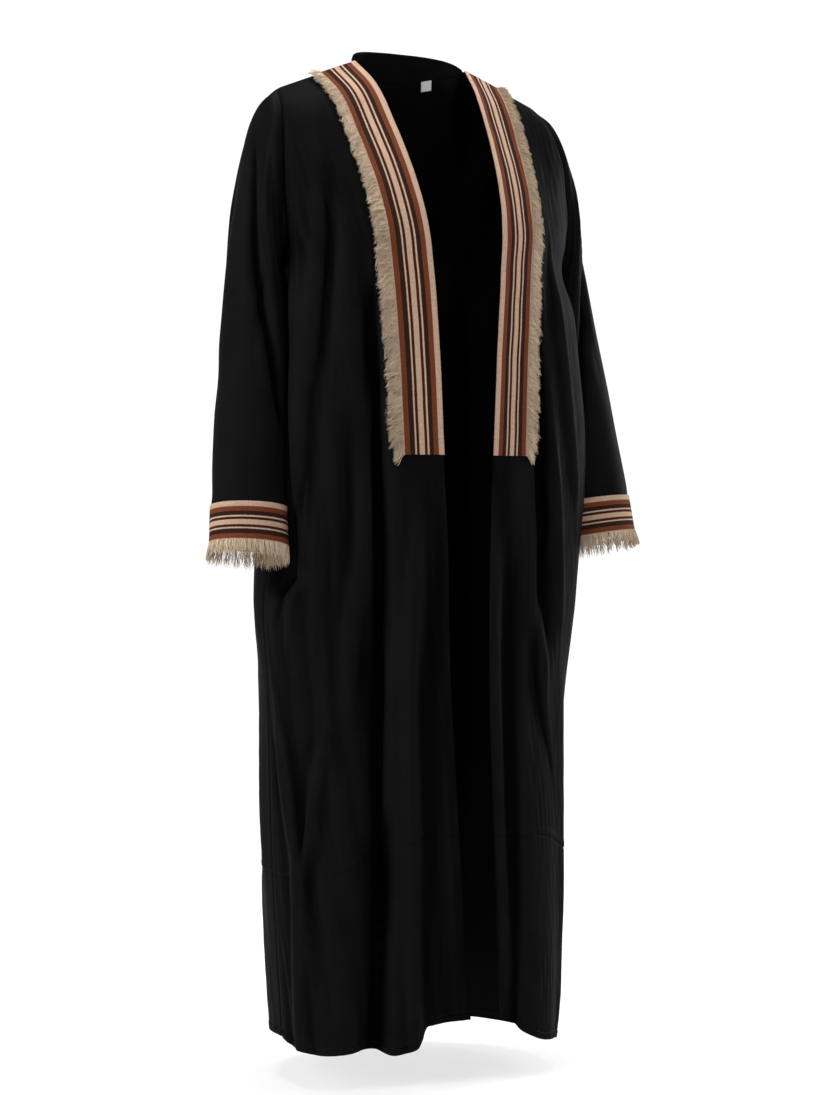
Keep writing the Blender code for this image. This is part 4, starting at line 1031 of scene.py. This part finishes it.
def striped_braid():
    """A woven braid: stripes along its length, ribs across it and uneven yarns."""
    material, add = new_material("striped_braid_finish")
    place = add("TexCoord").outputs["UV"]
    across, length = add("SeparateXYZ", Vector=place).outputs[:2]
    jitter = stretched_noise(add, place, (300.0, 1400.0), 1.0)
    pick = worked(add, "ADD", across, varied(add, jitter, -STRIPE_JITTER, STRIPE_JITTER))
    ramp = add("ValToRGB", Fac=worked(add, "DIVIDE", pick, BRAID_WIDTH))
    ramp.color_ramp.interpolation = "CONSTANT"
    edge = 0.0
    for k, (width, colour) in enumerate(STRIPES):
        element = ramp.color_ramp.elements[k] if k < 2 else ramp.color_ramp.elements.new(edge)
        element.position = edge
        element.color = (*colour, 1.0)
        edge += width / 1000.0 / BRAID_WIDTH
    ribs = worked(add, "MULTIPLY", length, 2 * math.pi / RIB_PITCH)
    threads = worked(add, "MULTIPLY", across, 2 * math.pi / THREAD_PITCH)
    twist = worked(add, "SINE", worked(add, "ADD", ribs, threads))
    relief = worked(add, "ADD", worked(add, "SINE", ribs), twist)
    yarn = stretched_noise(add, place, (900.0, 260.0), 3.0)
    height = worked(add, "MULTIPLY_ADD", yarn, 2.0, relief)
    bump = add("Bump", Strength=0.7, Distance=0.00025, Height=height)
    weave = add("MapRange", Value=relief, i1=-2.0, i2=2.0, i3=0.62, i4=1.16)
    shade = worked(add, "MULTIPLY", weave, varied(add, yarn, 0.82, 1.15))
    colour = shaded(add, ramp, shade)
    return set_shader(material, Base_Color=colour, Normal=bump, Roughness=0.9, Specular_IOR_Level=0.06)


def cream_yarn():
    """Loose spun yarn: each strand a little lighter or darker, with a twist along it."""
    material, add = new_material("cream_yarn_finish")
    strand_number, run = add("SeparateXYZ", Vector=add("TexCoord").outputs["UV"]).outputs[:2]
    strand = add("TexNoise", Vector=add("CombineXYZ", X=strand_number), Scale=900.0, Detail=0.0)
    turn = worked(add, "SINE", worked(add, "MULTIPLY", run, 2 * math.pi / 0.0012))
    ply = add("MapRange", Value=turn, i1=-1.0, i2=1.0, i3=0.86, i4=1.06)
    shade = worked(add, "MULTIPLY", varied(add, strand, 0.52, 1.38), ply)
    bump = add("Bump", Strength=0.5, Distance=0.0001, Height=turn)
    set_shader(material, Base_Color=shaded(add, YARN, shade), Normal=bump)
    return set_shader(material, Roughness=0.95, Specular_IOR_Level=0.06, Sheen_Weight=0.08)


def woven_tab():
    """A pale grey satin-woven tab."""
    material, add = new_material("grey_tab_finish")
    weave = stretched_noise(add, add("TexCoord").outputs["UV"], (500.0, 3200.0), 2.0)
    bump = add("Bump", Strength=0.3, Distance=0.0001, Height=weave)
    colour = shaded(add, TAB, varied(add, weave, 0.88, 1.08))
    return set_shader(material, Base_Color=colour, Normal=bump, Roughness=0.6)


def sewing_thread():
    """Black polyester thread, a little glossier than the cloth."""
    material, add = new_material("black_thread_finish")
    twist = add("TexNoise", Vector=add("TexCoord").outputs["Object"], Scale=2500.0, Detail=1.0)
    bump = add("Bump", Strength=0.4, Distance=0.0001, Height=twist)
    colour = shaded(add, THREAD, varied(add, twist, 0.7, 1.3))
    return set_shader(material, Base_Color=colour, Normal=bump, Roughness=0.45)


def add_yarns(name, roots, starts, bends, curls, lengths, radius, material, nodes):
    """Many yarns in one mesh: each leaves its root along its start, bends over towards its bend and curls."""
    count, rings = len(roots), len(YARN_TAPER)
    share = np.linspace(0.0, 1.0, rings)[None, :, None]
    wave = np.sin(share * YARN_WAVES * math.pi) * share
    path = starts[:, None] * share + bends[:, None] * share**2 + curls[:, None] * wave
    path = roots[:, None] + lengths[:, None, None] * path
    tangent = unit(starts[:, None] + 2 * bends[:, None] * share)
    side = unit(np.cross(tangent, np.array(YARN_SIDE)))
    other = np.cross(tangent, side)
    thick = radius * np.array(YARN_TAPER)[None, :, None]
    lines = []
    for corner in range(3):
        angle = corner * 2 * math.pi / 3
        lines.append(path + (side * math.cos(angle) + other * math.sin(angle)) * thick)
    points = np.stack(lines, axis=2)
    first = np.arange(count)[:, None, None] * rings * 3
    step = np.arange(rings - 1)[None, :, None] * 3
    corner = np.arange(3)[None, None, :]
    a, b = first + step + corner, first + step + (corner + 1) % 3
    quads = np.stack([a, b, b + 3, a + 3], axis=-1).reshape(-1, 4)
    along_it = np.broadcast_to(lengths[:, None, None] * share, (count, rings, 1))[..., 0]
    strand = down_rows(np.arange(count) * STRAND_STEP, rings)
    uv = np.stack([strand, along_it], axis=-1)[:, :, None, :].repeat(3, axis=2).reshape(-1, 2)
    piece = add_mesh(name, points, quads, uv[quads], material)
    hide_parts(*nodes)
    return piece


def add_stitches(name, starts, ends, outs, material):
    """A row of short stitches in one mesh, each a low six-sided bead from its start to its end."""
    width, height = STITCH_SIZE
    side = unit(np.cross(unit(ends - starts), outs)) * width / 2
    middle = (starts + ends) / 2 + outs * height
    points = np.stack([starts, middle + side, ends, middle - side, middle + outs * height], axis=1)
    base = np.arange(len(starts))[:, None, None] * 5
    corners = np.array([[0, 1, 4], [1, 2, 4], [2, 3, 4], [3, 0, 4], [1, 0, 2], [2, 0, 3]])
    faces = (base + corners[None]).reshape(-1, 3)
    uvs = np.zeros((len(faces) * 3, 2))
    return add_mesh(name, points, faces, uvs, material)


def hem_stitches(grid, levels):
    """Starts, ends and outward directions of the stitches along a panel's hem."""
    row = int(np.argmin(np.abs(levels - HEM_LINE)))
    out = directions(grid)[2][row]
    line = grid[row] + out * STITCH_LIFT
    run = run_along(line)
    places = np.arange(STITCH_MARGIN, run[-1] - STITCH_PITCH, STITCH_PITCH)

    def at(where, values):
        return np.stack([np.interp(where, run, values[:, k]) for k in range(3)], axis=-1)

    return at(places, line), at(places + STITCH_PITCH * STITCH_SHARE, line), unit(at(places, out))


def braid_profile(share):
    """The braid's relief across its width: thin grooves between its stripes, and the pale ones raised."""
    edges = np.concatenate([[0.0], np.cumsum([row[0] for row in STRIPES])]) / 1000.0 / BRAID_WIDTH
    gap = np.min(np.abs(share[..., None] - edges), axis=-1) * BRAID_WIDTH
    pale = np.zeros_like(share)
    for (_, colour), left, right in zip(STRIPES, edges[:-1], edges[1:]):
        if colour in (CREAM, PALE):
            pale += (share >= left) * (share < right)
    return (BRAID_CROWN * pale + BRAID_BASE) * eased(gap, 0.0, GROOVE)


def raised_braid(base, over, out, share, length, waves):
    """A braid's points above the cloth: its relief and waves, and loops along its first edge."""
    loops = LOOP_HEIGHT * (1 - eased(share, 0.0, LOOP_SHARE)) * np.abs(np.sin(length * math.pi / LOOP_PITCH))
    lift = CLOTH / 2 + BRAID_GAP + BRAID_WALL - BRAID_CLOTH / 2 - BRAID_SUNK + braid_profile(share) + waves
    return base + out * lift[..., None] - over * loops[..., None]


def front_braid(side, grid, end_row, material):
    """The woven braid along a front's edge; the grid's columns run from the edge."""
    rows = np.linspace(0.0, end_row, BRAID_ROWS)
    columns = np.linspace(0.0, STRIP_COLUMNS, BRAID_COLUMNS)
    base = on_grid(grid, rows[:, None], columns[None, :])
    share = across_columns(columns / STRIP_COLUMNS, BRAID_ROWS)
    length = down_rows(run_along(base[:, 0]), BRAID_COLUMNS)
    across, _, out = directions(base)
    height, size = BRAID_WAVE
    waves = height * ripple(length, share * BRAID_WIDTH, size, 11)
    shaped = raised_braid(base, across, out, share, length, waves)
    shown = for_side(side, shaped, share * BRAID_WIDTH, length)
    nodes = ["braid_front_" + side]
    return add_sheet("woven_braid_front_" + side, *shown, material, "striped_braid", BRAID_CLOTH, nodes)


def front_fringe(side, grid, end_row, material, rng):
    """Loose yarns over the outer border of a front braid, in tufts that slant outwards and down."""
    count = FRONT_YARNS
    tufts = count // YARNS_IN_TUFT
    row_pitch = end_row / tufts
    which = np.arange(count) % tufts
    centre = (which + 0.5 + rng.uniform(-TUFT_STRAY, TUFT_STRAY, tufts)[which]) * row_pitch
    rows = np.clip(centre + row_pitch * rng.normal(0.0, YARN_STRAY, count), 0.0, end_row)
    inward = FRINGE_COVERS * rng.uniform(0.0, 1.0, count) ** INWARD_POWER
    edge = np.full(count, float(STRIP_COLUMNS))
    base = on_grid(grid, rows, edge - inward / (BRAID_WIDTH / STRIP_COLUMNS))
    across, down, out = (unit(on_grid(each, rows, edge)) for each in directions(grid))
    place = rows / end_row * BRAID_END
    at_top = 1.0 - eased(place, 0.0, RAISED_TOP)
    layer = rng.uniform(0.0, 1.0, count)

    droop = rng.normal(DROOP, DROOP_SPREAD[0], tufts)[which] + rng.normal(0.0, DROOP_SPREAD[1], count)
    droop = droop - DROOP_LESS_AT_TOP * at_top
    stand = STAND + STAND_BY_LAYER * layer + STAND_AT_TOP * at_top
    starts = unit(across + down * (DROOP_AT_START * droop)[:, None] + out * stand[:, None])
    gather = (centre - rows) * (BRAID_END / end_row) / FRONT_FRINGE
    bends = down * (DROOP_AT_END * droop + GATHER * gather)[:, None]
    bends = bends - out * (BEND_BACK + BEND_BY_LAYER * layer)[:, None]
    sway = rng.normal(0.0, SWAY_SPREAD[0], tufts)[which] + rng.normal(0.0, SWAY_SPREAD[1], count)
    curls = down * sway[:, None] + out * rng.uniform(*CURL_OUT, count)[:, None]

    by_tuft, by_yarn = LENGTH_SPREAD
    lengths = rng.normal(LENGTH_SHARE, by_tuft, tufts)[which] + rng.uniform(-by_yarn, by_yarn, count)
    shorter = TOP_SHORTER[0] + TOP_SHORTER[1] * eased(place, *TOP_SHORTER_TO)
    lengths = np.clip(FRONT_FRINGE * lengths, *YARN_LENGTHS) * shorter + COVERS_LENGTH * inward
    tail = rows > end_row - TAIL_ROWS
    starts[tail] = unit(starts[tail] + down[tail] * TAIL_DROOP)
    lengths[tail] *= TAIL_SHARE

    raised = CLOTH / 2 + FRONT_ROOTS + BRAID_WALL * eased(inward, *OVER_BRAID) + FRONT_ROOTS_BY_LAYER * layer
    vectors = vectors_for(side, base + out * raised[:, None], starts, bends, curls)
    nodes = ["fringe_front_" + side]
    return add_yarns("yarn_fringe_front_" + side, *vectors, lengths, FRONT_YARN_RADIUS, material, nodes)


def cuff_braid(side, grid, material):
    """The woven braid round a cuff, from its upper edge down to the cuff's end."""
    last = SLEEVE_RINGS - 1
    rows = np.linspace(last * (1.0 - CUFF_BRAID / SLEEVE_LENGTH), last, CUFF_ROWS)
    columns = np.linspace(0.0, SLEEVE_COLUMNS, CUFF_COLUMNS + 1)[:-1]
    base = on_grid(wrapped(grid), rows[:, None], columns[None, :])
    share = down_rows(np.linspace(0.0, 1.0, CUFF_ROWS), CUFF_COLUMNS)
    length = across_columns(columns / SLEEVE_COLUMNS * round_length(base), CUFF_ROWS)
    _, down, out = directions(base, closed=True)
    shaped = raised_braid(base, down, out, share, length, 0.0)
    shown = for_side(side, shaped, share * CUFF_STRIPES, length)
    nodes = ["braid_cuff_" + side]
    name = "woven_braid_cuff_" + side
    return add_sheet(name, *shown, material, "striped_braid", BRAID_CLOTH, nodes, closed=True)


def cuff_fringe(side, grid, material, rng):
    """Loose yarns that hang from a cuff's end and flare a little, in uneven tufts."""
    count = CUFF_YARNS
    turn = np.sort(rng.uniform(0.0, SLEEVE_COLUMNS, count))
    last = np.full(count, SLEEVE_RINGS - 1.0)
    out = unit(on_grid(wrapped(directions(grid, closed=True)[2]), last, turn))
    grid = wrapped(grid)
    base = on_grid(grid, last - rng.uniform(0.0, CUFF_ROOT_ROWS, count), turn)
    down = unit(on_grid(grid, last, turn) - on_grid(grid, last - 3.0, turn))
    sideways = np.cross(down, out)
    place = turn / SLEEVE_COLUMNS * CUFF_ROUND
    strength, pitch = CUFF_TUFT_VARIES
    tuft = np.sin(place * 2 * math.pi / CUFF_TUFT + strength * np.sin(place * 2 * math.pi / pitch))
    layer = rng.uniform(0.0, 1.0, count)

    flare = CUFF_FLARE[0] + CUFF_FLARE[1] * eased(out[:, 0], *FLARE_OUTSIDE)
    flare = flare * (FLARE_BY_LAYER[0] + FLARE_BY_LAYER[1] * layer)
    slant = CUFF_SLANT[0] * tuft + rng.normal(0.0, CUFF_SLANT[1], count)
    starts = unit(down + out * flare[:, None] + sideways * slant[:, None])
    aside = -CUFF_BEND_ASIDE[0] * tuft + rng.normal(0.0, CUFF_BEND_ASIDE[1], count)
    bends = out * (-CUFF_BEND_BACK * layer)[:, None] + sideways * aside[:, None]
    curls = sideways * rng.normal(0.0, CUFF_CURL_ASIDE, count)[:, None]
    curls = curls + out * rng.uniform(*CUFF_CURL_OUT, count)[:, None]

    behind = CUFF_LENGTH[0] + CUFF_LENGTH[1] * eased(out[:, 1], *LONGER_BEHIND)
    mean, by_yarn, by_tuft = CUFF_LENGTH_SHARE
    lengths = CUFF_FRINGE * behind * (mean + by_yarn * rng.uniform(-1, 1, count) + by_tuft * tuft)
    roots = base + out * (CLOTH / 2 + CUFF_ROOTS + CUFF_ROOTS_BY_LAYER * layer)[:, None]
    kept = rng.uniform(0.0, 1.0, count) > THINNED * eased(out[:, 1], *THINNED_BEHIND)
    vectors = vectors_for(side, *(each[kept] for each in (roots, starts, bends, curls)))
    nodes = ["fringe_cuff_" + side]
    return add_yarns("yarn_fringe_cuff_" + side, *vectors, lengths[kept], CUFF_YARN_RADIUS, material, nodes)


def neckband(material):
    """The low standing band round the back of the neck, soft along its upper edge."""
    turn = np.linspace(1.0 - NECKBAND_FROM_SEAM, NECKBAND_FROM_SEAM - 1.0, NECKBAND_COLUMNS)
    angle = turn * np.pi / 2
    foot = neckline(turn)
    height = NECKBAND_HEIGHT * (1.0 - np.abs(turn) ** NECKBAND_ROUNDING)
    inward = -np.stack([np.sin(angle), np.cos(angle), np.zeros_like(angle)], axis=-1)
    share = np.linspace(1.0, 0.0, NECKBAND_ROWS)[:, None, None]
    lean = NECKBAND_LEAN * (height / NECKBAND_HEIGHT)[:, None]
    grid = foot[None] + inward[None] * lean[None] * share**NECKBAND_CURVE
    grid[..., 2] += height[None] * share[..., 0] - NECKBAND_TUCK * (1.0 - share[..., 0])
    u = across_columns(run_along(foot), NECKBAND_ROWS)
    v = np.repeat(NECKBAND_HEIGHT * (1.0 - share[:, :, 0]), NECKBAND_COLUMNS, axis=1)
    wave, size = NECKBAND_WAVE
    lift = wave * ripple(u, v, size, 21) + sunk(v - NECKBAND_STITCHED, NECKBAND_STITCHING)
    shaped = grid + directions(grid)[2] * lift[..., None]
    return add_cloth("cloth_neckband", shaped, u, v, material, ["neckband_back"])


def label(material):
    """A small bare tab that hangs inside the back neck seam, curled a little at its lower end."""
    top = neckline(LABEL_TURNS)
    middle = top.mean(axis=0)
    sideways = unit(top[1] - top[0])
    inward = unit(np.array([-middle[0], -middle[1], 0.0]))
    upward = np.array([0.0, 0.0, 1.0])
    corner = middle + inward * LABEL_INWARD - upward * LABEL_BELOW_SEAM
    down, across = np.linspace(0.0, 1.0, LABEL_STEPS), np.linspace(-0.5, 0.5, LABEL_STEPS)
    s, t = np.meshgrid(down, across, indexing="ij")
    u, v = t * LABEL_SIZE, s * LABEL_SIZE
    grid = corner + sideways * u[..., None] - upward * v[..., None]
    curl = LABEL_CURL * s**2 + LABEL_HOLLOW * np.cos(t * math.pi) * s
    grid = grid + inward * curl[..., None]
    return add_sheet("woven_tab", grid, u, v, material, "grey_label", LABEL_WALL, ["neck_label"])


def white_paper_with_painted_shadow():
    """White paper that glows softly, dimmer near the garment as a painted shadow."""
    material, add = new_material("white_paper_with_painted_shadow")
    away = add("VectorMath", {"operation": "LENGTH"}, i0=add("TexCoord").outputs["Object"])
    # Painted shadow: the floor's glow is dimmer near the garment
    glow = faded(add, away.outputs["Value"], FLOOR_GLOW_AND_PAINTED_SHADOW)
    set_shader(material, Base_Color=FLOOR_COLOUR, Roughness=0.95, Specular_IOR_Level=0.1)
    return set_shader(material, Emission_Color=WHITE, Emission_Strength=glow)


def add_floor():
    """A wide white floor under the hem."""
    mesh = bpy.data.meshes.new("studio_floor")
    signs = ((-1, -1), (1, -1), (1, 1), (-1, 1))
    mesh.from_pydata([(x * FLOOR_REACH, y * FLOOR_REACH, 0) for x, y in signs], [], [(0, 1, 2, 3)])
    mesh.materials.append(white_paper_with_painted_shadow())
    floor = bpy.data.objects.new("studio_floor", mesh)
    floor.location.z = FLOOR_LEVEL
    bpy.context.scene.collection.objects.link(floor)


def add_room():
    """A room that is dim in front of the garment, and white behind it and low down."""
    world = bpy.data.worlds.new("studio")
    world.use_nodes = True
    add = node_adder(world.node_tree)
    direction = add("TexCoord").outputs["Generated"]
    turn = math.radians(VIEW_AZIMUTH)
    behind = (-math.sin(turn), math.cos(turn), 0.0)
    towards = add("VectorMath", {"operation": "DOT_PRODUCT"}, i0=direction, i1=behind).outputs["Value"]
    height = add("SeparateXYZ", Vector=direction).outputs["Z"]
    room = faded(add, towards, ROOM_BRIGHTNESS)
    brightness = worked(add, "MAXIMUM", faded(add, height, HORIZON_BRIGHTNESS), room)
    tree = world.node_tree
    set_inputs(tree, tree.nodes["Background"], {"Color": WHITE, "Strength": brightness})
    bpy.context.scene.world = world


def add_lights():
    """Soft lights that face the garment."""
    for name, (place, size, power) in SOFT_LIGHTS.items():
        data = bpy.data.lights.new(name, "AREA")
        data.shape = "RECTANGLE"
        data.size, data.size_y = size
        data.energy = power
        lamp = bpy.data.objects.new(name, data)
        lamp.location = place
        lamp.rotation_euler = (Vector(VIEW_TARGET) - Vector(place)).to_track_quat("-Z", "Y").to_euler()
        bpy.context.scene.collection.objects.link(lamp)
    bpy.context.scene.view_settings.view_transform = "Standard"


def add_camera():
    """The photo's view: level, turned to the wearer's right, and framed as the photo is."""
    data = bpy.data.cameras.new("camera")
    camera = bpy.data.objects.new("camera", data)
    turn = math.radians(VIEW_AZIMUTH)
    away = Vector((math.sin(turn), -math.cos(turn), 0.0)) * VIEW_DISTANCE
    camera.location = Vector(VIEW_TARGET) + away
    camera.rotation_euler = (-away).to_track_quat("-Z", "Y").to_euler()
    data.sensor_fit = "HORIZONTAL"
    data.sensor_width = SENSOR
    data.lens = SENSOR * VIEW_FOCAL / PHOTO_WIDTH
    data.shift_x = (PHOTO_WIDTH / 2 - VIEW_CENTRE[0]) / PHOTO_WIDTH
    data.shift_y = -(PHOTO_HEIGHT / 2 - VIEW_CENTRE[1]) / PHOTO_WIDTH
    bpy.context.scene.collection.objects.link(camera)
    bpy.context.scene.camera = camera


def build():
    """Builds every piece of the garment."""
    crepe, braid, yarn, thread = black_crepe(), striped_braid(), cream_yarn(), sewing_thread()
    rng = np.random.default_rng(8)
    levels = body_rows(FRONT_ROWS)
    end_row = float(np.interp(BRAID_END, levels, np.arange(len(levels))))
    sides = {
        "left": front_grid(EDGE_LEFT, SIDE_LEFT, FOLDS_LEFT, HEM_DROP_LEFT, CREASES_LEFT, 3),
        "right": front_grid(EDGE_RIGHT, SIDE_RIGHT, FOLDS_RIGHT, HEM_DROP_RIGHT, CREASES_RIGHT, 7),
    }
    stitches = []
    for side, (grid, distance, level, nominal) in sides.items():
        shown, distance, level, nominal = for_side(side, grid, distance, level, nominal)
        shown = tilted(shown, nominal)
        nodes = ["front_" + side, "hem_band_front_" + side]
        front = add_cloth("cloth_front_" + side, shown, distance, level, crepe, nodes)
        stitches.append(hem_stitches(shown, levels))
        strip = front_braid(side, grid, end_row, braid)
        tassels = front_fringe(side, grid, end_row, yarn, rng)
        sleeve, across, run = sleeve_grid(CUFF_DROP[side])
        tube = for_side(side, sleeve)[0]
        arm = add_cloth("cloth_sleeve_" + side, tube, across, run, crepe, ["sleeve_" + side], closed=True)
        cuff = cuff_braid(side, sleeve, braid)
        hanging = cuff_fringe(side, sleeve, yarn, rng)
    grid, distance, level, nominal = back_grid()
    grid = tilted(grid, nominal)
    back = add_cloth("cloth_back", grid, distance, level, crepe, ["back", "hem_band_back"])
    band = neckband(crepe)
    tab = label(woven_tab())
    stitches.append(hem_stitches(grid, body_rows(BACK_ROWS)))
    starts, ends, outs = (np.concatenate(part) for part in zip(*stitches))
    add_stitches("hem_stitches", starts, ends, outs, thread)


build()
add_floor()
add_room()
add_lights()
add_camera()
